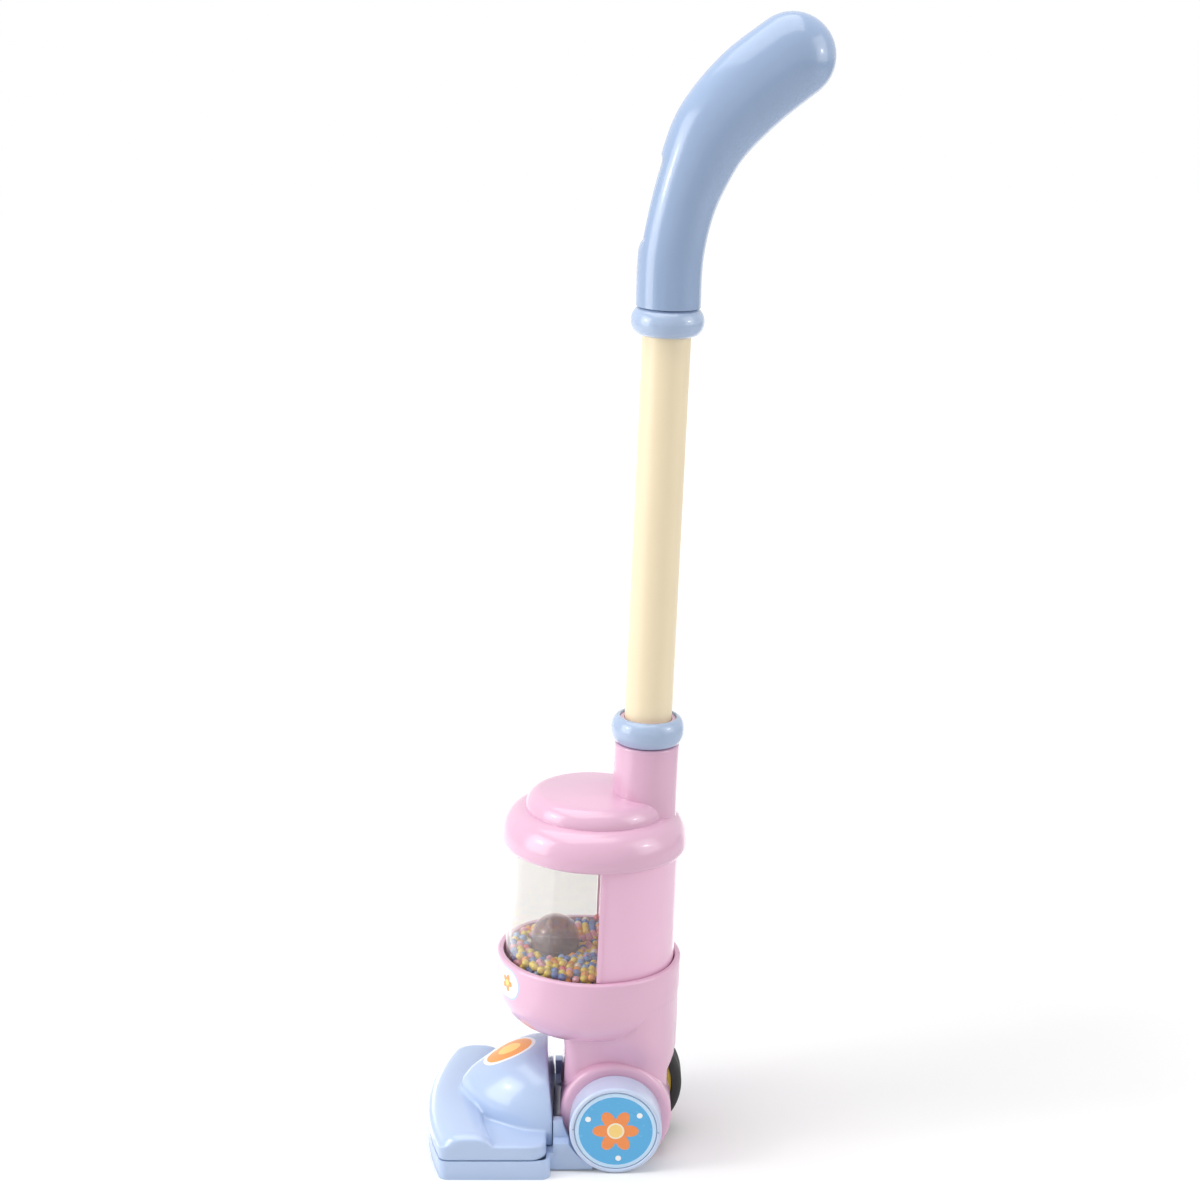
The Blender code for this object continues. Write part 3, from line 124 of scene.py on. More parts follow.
class Finish:
    """The nodes of one finish of the toy, or of the world round it."""

    def __init__(self, name, world=None):
        self.material = world or bpy.data.materials.new(name)
        self.material.use_nodes = True
        self.tree = self.material.node_tree
        self.shader = self.tree.nodes.get("Principled BSDF")

    def node(self, kind, settings=None, sockets=None, output=0):
        """Adds any node, sets it up and returns its chosen output."""
        made = self.tree.nodes.new(kind)
        for key, value in (settings or {}).items():
            setattr(made, key, value)
        for key, value in (sockets or {}).items():
            self._feed(made.inputs[key], value)
        return Signal(self, made.outputs[output])

    def _feed(self, socket, value):
        if isinstance(value, Signal):
            self.tree.links.new(value.socket, socket)
        else:
            socket.default_value = value

    def set(self, **values):
        """Constants and links on the shader's own sockets."""
        for key, value in values.items():
            self._feed(self.shader.inputs[key.replace("_", " ").title()], value)

    def surface(self, shader):
        """Shows another shader than the standard one."""
        output = self.tree.nodes.get("Material Output") or self.tree.nodes.new("ShaderNodeOutputWorld")
        self.tree.links.new(shader.socket, output.inputs["Surface"])

    def place(self, centre=(0.0, 0.0, 0.0), turn=(0.0, 0.0, 0.0)):
        """Object coordinates, moved so that centre is zero and then turned."""
        coords = self.node("ShaderNodeTexCoord", output="Object")
        moved = self.node("ShaderNodeMapping", {"vector_type": "POINT"},
                          {"Vector": coords, "Location": tuple(-value for value in centre)})
        if not any(turn):
            return moved
        return self.node("ShaderNodeMapping", {"vector_type": "POINT"}, {"Vector": moved, "Rotation": turn})

    def axes(self, vector):
        """The three numbers of a vector."""
        split = self.node("ShaderNodeSeparateXYZ", sockets={"Vector": vector}, output="X")
        return split, split.part("Y"), split.part("Z")

    def noise(self, scale, detail=2.0, vector=None):
        return self.node("ShaderNodeTexNoise", None,
                         {"Vector": vector or self.place(), "Scale": scale, "Detail": detail}, "Fac")

    def blend(self, factor, first, second):
        """Mixes two colours, which are sockets 6 and 7 of the node, into its socket 2."""
        return self.node("ShaderNodeMix", {"data_type": "RGBA"},
                         {0: factor, 6: opaque(first), 7: opaque(second)}, 2)

    def mottle(self, factor, colour):
        """A colour that varies a little to either side."""
        return self.blend(factor, shade(colour, 1 - mottling), shade(colour, 1 + mottling))

    def bump(self, height, strength, distance):
        return self.node("ShaderNodeBump", None,
                         {"Height": height, "Strength": strength, "Distance": distance}, "Normal")


def opaque(colour):
    return colour if isinstance(colour, Signal) else (*colour, 1.0)


def shade(colour, factor):
    return tuple(min(1.0, value * factor) for value in colour)


def length(across, up):
    """Length of a flat vector of two signals."""
    return (across * across + up * up) ** 0.5


# Finishes

mottling = 0.03
white = (1.0, 1.0, 1.0, 1.0)
light_blue = (0.438, 0.554, 0.765)
# The wheel blue is the nozzle's blue made lighter: painted light that stands in for the top light on the wheel
# rims
wheel_blue_painted_light = (0.550, 0.640, 0.820)
collar_blue = (0.370, 0.470, 0.650)
grip_blue = (0.290, 0.390, 0.575)
candy_pink = (0.745, 0.450, 0.605)
pale_ivory = (0.850, 0.722, 0.500)


def moulded_plastic(name, colour, roughness=0.24, gloss=0.35, printed=None):
    """Glossy moulded plastic: slight clouding, flow ripple and fine handling haze."""
    finish = Finish(name)
    cloud = finish.noise(28.0, 3.0)
    haze = finish.noise(160.0, 4.0)
    flow = finish.noise(70.0, 2.0)
    tint = finish.mottle(cloud, colour)
    finish.set(base_color=printed(finish, tint) if printed else tint,
               roughness=roughness + (haze - 0.5) * 0.10, coat_weight=gloss, coat_roughness=0.08,
               normal=finish.bump(flow, 0.12, 0.0002))
    return finish.material


def tube_finish():
    """Satin ivory tube with a faint drawn grain along its length."""
    finish = Finish("ivory_tube")
    stretched = finish.node("ShaderNodeMapping", {"vector_type": "POINT"},
                            {"Vector": finish.place(), "Scale": (1.0, 1.0, 0.04)})
    grain = finish.noise(520.0, 3.0, stretched)
    finish.set(base_color=finish.mottle(finish.noise(24.0, 2.0), pale_ivory),
               roughness=0.42 + (grain - 0.5) * 0.16, normal=finish.bump(grain, 0.15, 0.0001))
    return finish.material


def rubber_finish():
    """Black rubber, dull, with dusty grain."""
    finish = Finish("black_rubber")
    grain = finish.noise(900.0, 4.0)
    dust = finish.noise(60.0, 4.0)
    tint = finish.blend(dust, (0.012, 0.012, 0.013), (0.030, 0.029, 0.030))
    finish.set(base_color=tint, roughness=0.62 + (grain - 0.5) * 0.2, normal=finish.bump(grain, 0.3, 0.0002))
    return finish.material


def steel_finish():
    """Bright steel with fine turning marks."""
    finish = Finish("bright_steel")
    marks = finish.noise(1400.0, 2.0)
    finish.set(base_color=finish.blend(marks, (0.50, 0.50, 0.51), (0.66, 0.66, 0.67)), metallic=1.0,
               roughness=0.28 + (marks - 0.5) * 0.2, normal=finish.bump(marks, 0.1, 0.0001))
    return finish.material


def clear_finish(name, tint, roughness, haze, haze_colour):
    """Clear moulding: light passes with a tint, and more of it bounces off at a glance."""
    straight_on = 0.04
    finish = Finish(name)
    facing = finish.node("ShaderNodeLayerWeight", None, {"Blend": 0.5}, "Facing")
    glance = facing ** 5.0 * (1 - straight_on) + straight_on
    smear = finish.noise(45.0, 3.0)
    through = finish.node("ShaderNodeBsdfTransparent", None, {"Color": (*tint, 1.0)})
    shine = finish.node("ShaderNodeBsdfAnisotropic", None, {"Color": white, "Roughness": roughness})
    milky = finish.node("ShaderNodeBsdfDiffuse", None, {"Color": (*haze_colour, 1.0)})
    body = finish.node("ShaderNodeMixShader", None, {0: haze * 0.5 + smear * haze, 1: through, 2: milky})
    finish.surface(finish.node("ShaderNodeMixShader", None, {0: glance, 1: body, 2: shine}))
    finish.tree.nodes.remove(finish.shader)
    return finish.material


def bead_finish():
    """Each bead keeps the one colour that its mesh carries."""
    finish = Finish("bead_plastic")
    dye = finish.node("ShaderNodeAttribute", {"attribute_name": "dye"}, output="Color")
    speck = finish.noise(900.0, 2.0)
    finish.set(base_color=dye, roughness=0.28 + (speck - 0.5) * 0.1, coat_weight=0.3, coat_roughness=0.1)
    return finish.material


blue_plastic = moulded_plastic("light_blue_plastic", light_blue)
# The side wheels' plastic carries that painted light in its lighter blue
wheel_plastic_painted_light = moulded_plastic("wheel_plastic_painted_light", wheel_blue_painted_light)
ring_blue_plastic = moulded_plastic("ring_blue_plastic", collar_blue)
dusk_blue_plastic = moulded_plastic("dusk_blue_plastic", grip_blue)
mauve_plastic = moulded_plastic("mauve_plastic", (0.300, 0.225, 0.250))
pink_plastic = moulded_plastic("candy_pink_plastic", candy_pink)
# The lid's pink is the body pink darkened: painted shade that offsets the strong light falling on its top
lid_pink_painted_shade = moulded_plastic("lid_pink_painted_shade", shade(candy_pink, 0.95))
# The rear shell's pink is the body pink lightened: painted light on the shell's side
shell_pink_painted_light = moulded_plastic("shell_pink_painted_light", shade(candy_pink, 1.12))
white_plastic = moulded_plastic("white_nylon", (0.80, 0.80, 0.77), roughness=0.45, gloss=0.0)
yellow_plastic = moulded_plastic("yellow_plastic", (0.90, 0.66, 0.05), roughness=0.35, gloss=0.1)
clear_plastic = clear_finish("clear_plastic", (0.953, 0.948, 0.938), 0.03, 0.03, (0.85, 0.83, 0.82))
smoky_plastic = clear_finish("smoky_plastic", (0.86, 0.79, 0.81), 0.05, 0.16, (0.52, 0.37, 0.41))
steel = steel_finish()


# Modelling helpers

merge_distance = 0.000002


def activate(piece=None):
    """Leaves edit mode and selects one piece, or none."""
    if bpy.context.mode != "OBJECT":
        bpy.ops.object.mode_set(mode="OBJECT")
    bpy.ops.object.select_all(action="DESELECT")
    if piece:
        piece.select_set(True)
        bpy.context.view_layer.objects.active = piece


def edit(piece):
    """Opens a piece for editing, with all of it selected."""
    activate(piece)
    bpy.ops.object.mode_set(mode="EDIT")
    bpy.ops.mesh.select_all(action="SELECT")


def tidy(piece):
    """Merges doubles and turns every face outwards."""
    edit(piece)
    bpy.ops.mesh.remove_doubles(threshold=merge_distance)
    bpy.ops.mesh.normals_make_consistent(inside=False)
    bpy.ops.object.mode_set(mode="OBJECT")
    return piece


def arc(centre, radii, start, end, steps=12):
    """Points along part of a circle, or of an ellipse if radii is a pair, both ends included."""
    wide, high = radii if isinstance(radii, tuple) else (radii, radii)
    turns = [math.radians(start + (end - start) * step / steps) for step in range(steps + 1)]
    return [(centre[0] + wide * math.cos(turn), centre[1] + high * math.sin(turn)) for turn in turns]


def lathe(name, profile, middle=(0.0, 0.0), steps=round_steps, degrees=360.0, start=0.0):
    """Draws a profile of (radius, height) points and spins it about an upright axis."""
    activate()
    bpy.ops.mesh.primitive_plane_add(size=seam_gap)
    piece = bpy.context.active_object
    piece.name = name
    bpy.ops.object.mode_set(mode="EDIT")
    bpy.ops.mesh.merge(type="CENTER")
    here = Vector((0.0, 0.0, 0.0))
    turn = math.radians(start)
    across = Vector((math.cos(turn), math.sin(turn), 0.0))
    for index, (radius, height) in enumerate(profile):
        there = across * radius + Vector((0.0, 0.0, height))
        if index == 0:
            bpy.ops.transform.translate(value=there)
        else:
            bpy.ops.mesh.extrude_region_move(TRANSFORM_OT_translate={"value": there - here})
        here = there
    bpy.ops.mesh.select_all(action="SELECT")
    if profile[0][0] > 0 or profile[-1][0] > 0:
        close_chain(piece)
    if degrees < 360.0:
        bpy.ops.mesh.edge_face_add()
    bpy.ops.mesh.spin(steps=steps, angle=-math.radians(degrees), center=(0, 0, 0), axis=(0, 0, 1))
    bpy.ops.mesh.select_all(action="SELECT")
    bpy.ops.transform.translate(value=(middle[0], middle[1], 0.0))
    return tidy(piece)


def close_chain(piece):
    """Joins the two loose ends of a drawn profile."""
    form = bmesh.from_edit_mesh(piece.data)
    ends = [point for point in form.verts if len(point.link_edges) == 1]
    if len(ends) == 2:
        form.edges.new(ends)
    bmesh.update_edit_mesh(piece.data)
    bpy.ops.mesh.select_all(action="SELECT")


def ring(name, inner, outer, low, high, middle=(0.0, 0.0), *lathing):
    """A ring of square section, or part of one."""
    return lathe(name, [(inner, low), (outer, low), (outer, high), (inner, high)], middle, *lathing)


def drum(name, radius, low, high, middle=(0.0, 0.0), steps=post_steps):
    """A round block that stands up."""
    return ring(name, 0.0, radius, low, high, middle, steps)


def along_x(piece, place=(0.0, 0.0), side=1):
    """Lays a piece with an upright axis along X, through (back, up)."""
    turn = Matrix.Rotation(math.pi / 2 * side, 4, "Y")
    piece.data.transform(Matrix.Translation((0.0, place[0], place[1])) @ turn)
    return piece


def rod(name, radius, low, high, place=(0.0, 0.0), steps=post_steps, side=1):
    """A round block along X; side -1 takes it to the right."""
    low, high = sorted((side * low, side * high))
    return along_x(drum(name, radius, low, high, steps=steps), place)


def prism(name, outline, low, high):
    """Shapes a filled ring to an outline and extrudes it upwards."""
    activate()
    bpy.ops.mesh.primitive_circle_add(vertices=len(outline), radius=1.0, fill_type="NGON")
    piece = bpy.context.active_object
    piece.name = name
    for point, (x, y) in zip(piece.data.vertices, outline):
        point.co = (x, y, low)
    edit(piece)
    bpy.ops.mesh.extrude_region_move(TRANSFORM_OT_translate={"value": (0.0, 0.0, high - low)})
    return tidy(piece)


def slab(name, outline, low, high, side=1):
    """A prism along X from an outline in (back, up); side -1 takes it to the right."""
    piece = prism(name, outline, *sorted((side * low, side * high)))
    piece.data.transform(Matrix(((0, 0, 1, 0), (1, 0, 0, 0), (0, 1, 0, 0), (0, 0, 0, 1))))
    return piece


def box(name, low, high, side=1):
    """A block between two corners; side -1 mirrors it to the right."""
    left, right = sorted((side * low[0], side * high[0]))
    return prism(name, [(left, low[1]), (right, low[1]), (right, high[1]), (left, high[1])], low[2], high[2])


def skin(name, rings):
    """Shapes a grid into a closed sleeve through the rings and fills its ends."""
    around = len(rings[0])
    activate()
    bpy.ops.mesh.primitive_grid_add(x_subdivisions=around, y_subdivisions=len(rings) - 1, size=1.0)
    piece = bpy.context.active_object
    piece.name = name
    for index, point in enumerate(piece.data.vertices):
        row, column = divmod(index, around + 1)
        point.co = rings[row][column % around]
    tidy(piece)
    bpy.ops.object.mode_set(mode="EDIT")
    bpy.ops.mesh.select_all(action="DESELECT")
    bpy.ops.mesh.select_mode(type="EDGE")
    bpy.ops.mesh.select_non_manifold()
    bpy.ops.mesh.fill_holes(sides=0)
    bpy.ops.mesh.select_mode(type="VERT")
    bpy.ops.object.mode_set(mode="OBJECT")
    return tidy(piece)


def modify(piece, kind, **settings):
    """Adds one modifier and applies it."""
    activate(piece)
    change = piece.modifiers.new(kind.lower(), kind)
    for key, value in settings.items():
        setattr(change, key, value)
    bpy.ops.object.modifier_apply(modifier=change.name)


def combine(piece, tools, operation, solver):
    for tool in tools:
        modify(piece, "BOOLEAN", object=tool, operation=operation, solver=solver)
        bpy.data.objects.remove(tool, do_unlink=True)


def cut(piece, *tools, solver="EXACT"):
    combine(piece, tools, "DIFFERENCE", solver)


def join(piece, *tools):
    combine(piece, tools, "UNION", "EXACT")


def smooth(piece, degrees=40.0):
    activate(piece)
    bpy.ops.object.shade_smooth_by_angle(angle=math.radians(degrees))


def soften(piece, width, degrees):
    """Rounds the sharp edges and shades the rest smooth."""
    modify(piece, "BEVEL", width=width, segments=2, limit_method="ANGLE",
           angle_limit=math.radians(degrees), harden_normals=False, miter_outer="MITER_ARC")
    smooth(piece, degrees)


def parted(piece, names):
    """Parts a piece at the middle plane into two closed halves."""
    halves = []
    for name, side in zip(names, (1, -1)):
        half = piece.copy()
        half.data = piece.data.copy()
        half.name = name
        bpy.context.collection.objects.link(half)
        edit(half)
        bpy.ops.mesh.bisect(plane_co=(side * seam_gap / 2, 0.0, 0.0), plane_no=(-side, 0.0, 0.0),
                            use_fill=True, clear_outer=True)
        bpy.ops.object.mode_set(mode="OBJECT")
        halves.append(half)
    bpy.data.objects.remove(piece, do_unlink=True)
    return halves


def wear(piece, material, node, body="upright", place=on_upright):
    """Gives a finished piece its finish, its place, its body and the node it stands for."""
    piece.data.transform(place)
    piece.data.materials.clear()
    piece.data.materials.append(material)
    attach(piece, body)
    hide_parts(node)


def screw_places(stem, count):
    """Where the screws of the frame stand in the scene, by their own nodes."""
    boxes = [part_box("{}_{}".format(stem, number)) for number in range(1, count + 1)]
    return [(low + high) / 2 for low, high in boxes]


def upright_screw_places(stem, count):
    """The same as (back, up) in the upright's own frame."""
    return [(on_upright.inverted() @ Vector(place)).yz for place in screw_places(stem, count)]


def cut_screw_holes(piece, places):
    """Holes along X for the shanks, and for the heads from the right."""
    for place in places:
        cut(piece, rod("shank_hole", screw_shank + seam_gap, -screw_seat - wall,
                       screw_length - screw_seat + wall, place, 20),
            rod("head_hole", screw_head + seam_gap, -far, -screw_seat, place))


# Camera: level with the toy's upper body, looking down at its left side

camera_distance = 1.300
camera_height = 0.652
camera_pitch = 15.3
camera_aim_back = 0.0125
focal_pixels = 2640.0
photo_pixels = 1200.0
sensor_width = 36.0


def add_camera():
    lens = bpy.data.cameras.new("photo_camera")
    lens.sensor_width = sensor_width
    lens.lens = sensor_width * focal_pixels / photo_pixels
    lens.clip_end = 20.0
    camera = bpy.data.objects.new("photo_camera", lens)
    camera.location = (camera_distance, hinge.y - camera_aim_back, camera_height)
    camera.rotation_euler = (math.radians(90.0 - camera_pitch), 0.0, math.radians(90.0))
    bpy.context.scene.collection.objects.link(camera)
    bpy.context.scene.camera = camera


# Top cover and neck

cover_radius = 0.0485
cover_widest = 0.1365
cover_crease = 0.1525
cover_crease_radius = 0.0370
disc_radius = 0.0365
disc_round = 0.0085
disc_crown = 0.12
cover_top = 0.1630
neck_radius = 0.0168
neck_root = 0.1500
neck_round = 0.0012
spigot_radius = 0.0143
spigot_height = 0.0132
tube_radius = 0.0122
tube_foot = 0.1738


def model_cover():
    skirt = bowl_inner_radius + wall * 0.45
    rise = cover_top - cover_crease
    crown_rise = rise * disc_crown
    outer = [*arc((skirt, cover_widest), (cover_radius - skirt, cover_widest - cover_bottom), -90, 0, 14),
             *arc((cover_crease_radius, cover_widest),
                  (cover_radius - cover_crease_radius, cover_crease - cover_widest), 0, 90, 18)[1:],
             *arc((disc_radius - disc_round, cover_crease), (disc_round, rise * (1 - disc_crown)), 0, 90, 14),
             *arc((0.0, cover_top - crown_rise), (disc_radius - disc_round, crown_rise), 60, 90, 5)]
    outer[-1] = (0.0, cover_top)
    seat = canister_radius + seam_gap
    shelf = canister_top + seam_gap
    crown = cover_top - wall
    inner = [(0.0, crown), (disc_radius - wall * 2, crown - wall), (disc_radius - wall, cover_crease - wall),
             *arc((cover_crease_radius - wall, shelf + wall),
                  (cover_radius - cover_crease_radius, cover_crease - wall * 2 - shelf), 80, 0, 10),
             (seat - wall, shelf + wall), (seat - wall, shelf), (seat, shelf), (seat, cover_bottom)]
    cover = lathe("cover", [*inner, *outer], (0.0, body_axis), fine_steps)
    spigot_top = neck_top + spigot_height
    neck = [(0.0, neck_root), (neck_radius + seam_gap, neck_root), (neck_radius, cover_top),
            (neck_radius, neck_top - neck_round),
            *arc((neck_radius - neck_round, neck_top - neck_round), neck_round, 0, 90, 4),
            (spigot_radius, neck_top), (spigot_radius, spigot_top), (0.0, spigot_top)]
    join(cover, lathe("neck_form", neck, (0.0, neck_axis)))
    cut(cover, drum("bore", tube_radius + seam_gap, tube_foot, neck_top + spigot_height * 2,
                    (0.0, neck_axis), round_steps))
    smooth(cover, 34.0)
    cover.name = "lid_and_neck"
    wear(cover, lid_pink_painted_shade, "top_cover")


# Tube and collars

collar_height = 0.0140
collar_bulge = 0.0052
collar_lip = 0.0004
socket_collar_radius = 0.0190
grip_collar_radius = 0.0184
grip_collar_level = 0.4026
tube_top = 0.4448
tube_wall = 0.0014


def model_tube():
    bore = tube_radius - tube_wall
    edge = seam_gap
    tube = lathe("tube", [(bore, tube_foot), (tube_radius - edge, tube_foot), (tube_radius, tube_foot + edge),
                          (tube_radius, tube_top - edge), (tube_radius - edge, tube_top), (bore, tube_top)],
                 (0.0, neck_axis))
    smooth(tube)
    wear(tube, tube_finish(), "handle_tube")


def model_collar(node, name, inner, outer, low):
    half = collar_height / 2
    edge = collar_lip / 2
    middle = max(outer - collar_bulge, inner + collar_lip)
    profile = [(inner, low + edge), (inner + edge, low),
               *arc((middle, low + half), (outer - middle, half), -90, 90, 24),
               (inner + edge, low + collar_height), (inner, low + collar_height - edge)]
    collar = lathe(name, profile, (0.0, neck_axis))
    smooth(collar, 50.0)
    wear(collar, ring_blue_plastic, node)


# Canister: rear shell, with a strip along each edge, and window

side_degrees = 5.0
strip_degrees = 2.6
strip_height = 0.0005


def model_rear_shell():
    middle = (0.0, body_axis)
    shell = ring("shell", canister_radius - wall, canister_radius, canister_foot, canister_top, middle,
                 72, 180.0 - 2 * side_degrees, side_degrees)
    for begin in (side_degrees, 180.0 - side_degrees - strip_degrees):
        join(shell, ring("strip", canister_radius - wall / 2, canister_radius + strip_height,
                         bowl_rim_level + seam_gap, cover_bottom - seam_gap, middle, 6, strip_degrees, begin))
    smooth(shell, 34.0)
    wear(shell, shell_pink_painted_light, "rear_shell")


def model_window():
    gap = math.degrees(seam_gap / window_radius)
    pane = ring("window_pane", window_radius - window_wall, window_radius, canister_foot, canister_top,
                (0.0, body_axis), round_steps, 180.0 + 2 * (side_degrees - gap), 180.0 - side_degrees + gap)
    smooth(pane, 34.0)
    wear(pane, clear_plastic, "bead_window")


# Stirrer dome

dome_radius = 0.0127
dome_wall = 0.0012
dome_level = 0.0790
dome_skirt = 0.0120
stirrer_forward = 0.0395776


def model_dome():
    inner = dome_radius - dome_wall
    foot = dome_level - dome_skirt
    profile = [*arc((0.0, dome_level), dome_radius, 90, 0, 18), (dome_radius, foot),
               (inner, foot), *arc((0.0, dome_level), inner, 0, 90, 14)]
    profile[0] = (0.0, dome_level + dome_radius)
    profile[-1] = (0.0, dome_level + inner)
    dome = lathe("dome", profile, (0.0, -stirrer_forward), 64)
    smooth(dome)
    wear(dome, smoky_plastic, "stirrer_dome", "stirrer")


# Beads, settled by pushing overlapping ones apart

bead_radius = 0.00215
bead_top = 0.0784
stirred_top = 0.0756
stirred_reach = 0.0150
bead_scatter = 0.0015
bead_unevenness = 0.0016
bead_sink = 0.00012
bead_push = 0.42
settling_rounds = 24
bead_seed = 7
row_pitch = 0.866
layer_pitch = 0.816
layer_shift = 0.577
bead_dyes = {
    "yellow": ((0.94, 0.74, 0.07), 10),
    "orange": ((0.92, 0.38, 0.04), 5),
    "cornflower": ((0.14, 0.25, 0.62), 4),
    "sky": ((0.34, 0.52, 0.84), 4),
    "pink": ((0.88, 0.42, 0.52), 5),
    "red": ((0.80, 0.14, 0.16), 1),
    "cream": ((0.90, 0.86, 0.66), 2),
}


def bead_places(draw):
    """Bead centres in the upright's frame: close-packed layers, scattered and then settled."""
    reach = window_radius - window_wall - bead_radius - seam_gap
    floor = canister_foot + bead_radius + seam_gap
    well = dome_radius + bead_radius + seam_gap
    top = bead_top - bead_radius
    pitch = bead_radius * 2.0
    count = int(reach / pitch) + 2
    places, caps = [], []
    for layer in range(int((top - floor) / (pitch * layer_pitch)) + 1):
        level = floor + layer * pitch * layer_pitch
        shift = (layer % 2) * 0.5
        for row in range(-count, count + 1):
            for column in range(-count, count + 1):
                x = (column + (row % 2) * 0.5 + shift) * pitch
                y = (row * row_pitch + shift * layer_shift) * pitch
                spot = Vector([value + draw.uniform(-1, 1) * bead_scatter for value in (x, y, level)])
                if math.hypot(spot.x, spot.y) <= reach:
                    places.append(spot)
                    caps.append(draw.uniform(0.0, bead_unevenness))
    stir = Vector((0.0, -stirrer_forward - body_axis))
    for _ in range(settling_rounds):
        tree = kdtree.KDTree(len(places))
        for index, spot in enumerate(places):
            tree.insert(spot, index)
        tree.balance()
        moved = []
        for index, spot in enumerate(places):
            push = Vector((0.0, 0.0, -bead_sink))
            for near, other, distance in tree.find_range(spot, pitch):
                if other != index and distance > 0:
                    push += (spot - near) * (bead_push * (pitch - distance) / distance)
            there = spot + push
            across = Vector((there.x, there.y))
            if across.length > reach:
                across *= reach / across.length
            from_stirrer = across - stir
            if from_stirrer.length < well:
                across = stir + from_stirrer.normalized() * well
            hollow = max(0.0, 1 - max(0.0, from_stirrer.length - well) / stirred_reach)
            cap = top - caps[index] - (bead_top - stirred_top) * hollow
            moved.append(Vector((across.x, across.y, min(max(there.z, floor), cap))))
        places = moved
    return places


def model_beads():
    draw = random.Random(bead_seed)
    activate()
    bpy.ops.mesh.primitive_uv_sphere_add(segments=8, ring_count=6, radius=bead_radius)
    seed = bpy.context.active_object
    points = [point.co.copy() for point in seed.data.vertices]
    facets = [tuple(face.vertices) for face in seed.data.polygons]
    bpy.data.objects.remove(seed, do_unlink=True)
    dyes = [dye for dye, share in bead_dyes.values() for _ in range(share)]
    vertices, faces, colours = [], [], []
    for spot in bead_places(draw):
        first = len(vertices)
        centre = spot + Vector((0.0, body_axis, 0.0))
        vertices += [point + centre for point in points]
        faces += [tuple(first + corner for corner in facet) for facet in facets]
        colours += [*draw.choice(dyes), 1.0] * len(points)
    mesh = bpy.data.meshes.new("beads")
    mesh.from_pydata(vertices, [], faces)
    mesh.color_attributes.new("dye", "FLOAT_COLOR", "POINT").data.foreach_set("color", colours)
    beads = bpy.data.objects.new("loose_beads", mesh)
    bpy.context.collection.objects.link(beads)
    activate(beads)
    bpy.ops.object.shade_smooth()
    wear(beads, bead_finish(), "bead_fill")


# Lower housing

column_half = 0.027
column_front = 0.0319
column_head_front = 0.0334
column_rear_half = 0.0325
column_head_half = 0.0405
column_corner = 0.0075
column_blend = 0.010
blend_steps = 10
column_flare = 0.0185
column_head = 0.040
trim_back = 0.0222
trim_level = 0.0150
trim_rise = 0.0080
trim_run = 0.0053
cheek_radius = 0.0293
cheek_face = 0.0335
cheek_edge = 0.003
wheel_back = 0.0041
wheel_drop = 0.0069
wheel_axis = (-wheel_back, -wheel_drop)
front_sweep = 0.0343
rear_sweep = 0.0304
floor_cut = -0.027
well_ceiling = 0.0323
slot_half = 0.0105
rear_slot_top = 0.0225
front_slot_top = 0.0135
lug_slot = (0.0185, 0.0240)
lug_slot_top = -0.005
boss_radius = 0.0046
pin_radius = 0.00215
axle_reach = 0.0303
pin_root = 0.0264
shaft_radius = 0.0019
shaft_boss_rise = 0.0056
spur_level = 0.0510
bowl_rim_round = 0.0014
seat_round = 0.0007


def column_outline(inset, rear_half, front_reach):
    """Plan of the column: flat front, sides that flare to the rear, rear on the bowl's circle."""
    half = column_half - inset
    front = -front_reach + inset
    corner = column_corner - inset
    radius = bowl_radius - seam_gap - inset
    turn = math.acos((rear_half - inset) / radius)
    edge = Vector((radius * math.cos(turn), radius * math.sin(turn) + body_axis))
    side = (Vector((half, front + corner)) - edge).normalized()
    into = turn + column_blend / radius
    on_rear = Vector((radius * math.cos(into), radius * math.sin(into) + body_axis))
    on_side = edge + side * column_blend
    blend = []
    for step in range(1, blend_steps):
        part = step / blend_steps
        point = on_side * (1 - part) ** 2 + edge * 2 * part * (1 - part) + on_rear * part ** 2
        blend.append((point.x, point.y))
    start = math.degrees(into)
    return [*arc((0.0, body_axis), radius, start, 180 - start, 24),
            *[(-x, y) for x, y in blend[::-1]], (-on_side.x, on_side.y),
            *arc((-half + corner, front + corner), corner, 180, 270, 10),
            *arc((half - corner, front + corner), corner, 270, 360, 10),
            (on_side.x, on_side.y), *blend]


def column_form():
    """The column, which widens upwards into the bowl."""
    steps = 10
    rise = column_head - column_flare
    levels = [-hinge.z, *(column_flare + rise * step / steps for step in range(steps + 1)),
              bowl_floor_level + bowl_fillet]
    rings = []
    for level in levels:
        part = min(1.0, max(0.0, (level - column_flare) / rise))
        ease = part * part * (3 - 2 * part)
        outline = column_outline(0.0, column_rear_half + (column_head_half - column_rear_half) * ease,
                                 column_front + (column_head_front - column_front) * ease)
        rings.append([Vector((x, y, level)) for x, y in outline])
    return skin("column", rings)


def trim_form(inset):
    """What the column gives up low down at the rear, where the drive wheel shows."""
    back = trim_back - inset
    level = trim_level - inset
    return slab("trim", [(back, -far), (far, -far), (far, level + trim_rise),
                         (back + trim_run, level + trim_rise), (back, level)], -far, far)


def cheek_form(name, radius, face, edge):
    profile = [(0.0, -face), *arc((radius - edge, -face + edge), edge, -90, 0, 6),
               *arc((radius - edge, face - edge), edge, 0, 90, 6), (0.0, face)]
    return along_x(lathe(name, profile), wheel_axis)


def sweep_form():
    """What the cheeks give up to swing past the yoke and the floor."""
    front = [point for point in arc((0.0, 0.0), front_sweep, 180, 270, 24) if point[1] > floor_cut]
    rear = [point for point in arc((0.0, 0.0), rear_sweep, 270, 360, 24) if point[1] > floor_cut]
    front.append((-math.sqrt(front_sweep ** 2 - floor_cut ** 2), floor_cut))
    rear.insert(0, (math.sqrt(rear_sweep ** 2 - floor_cut ** 2), floor_cut))
    return slab("sweep", [(-far, 0.0), *front, *rear, (far, 0.0), (far, -far), (-far, -far)], -far, far)


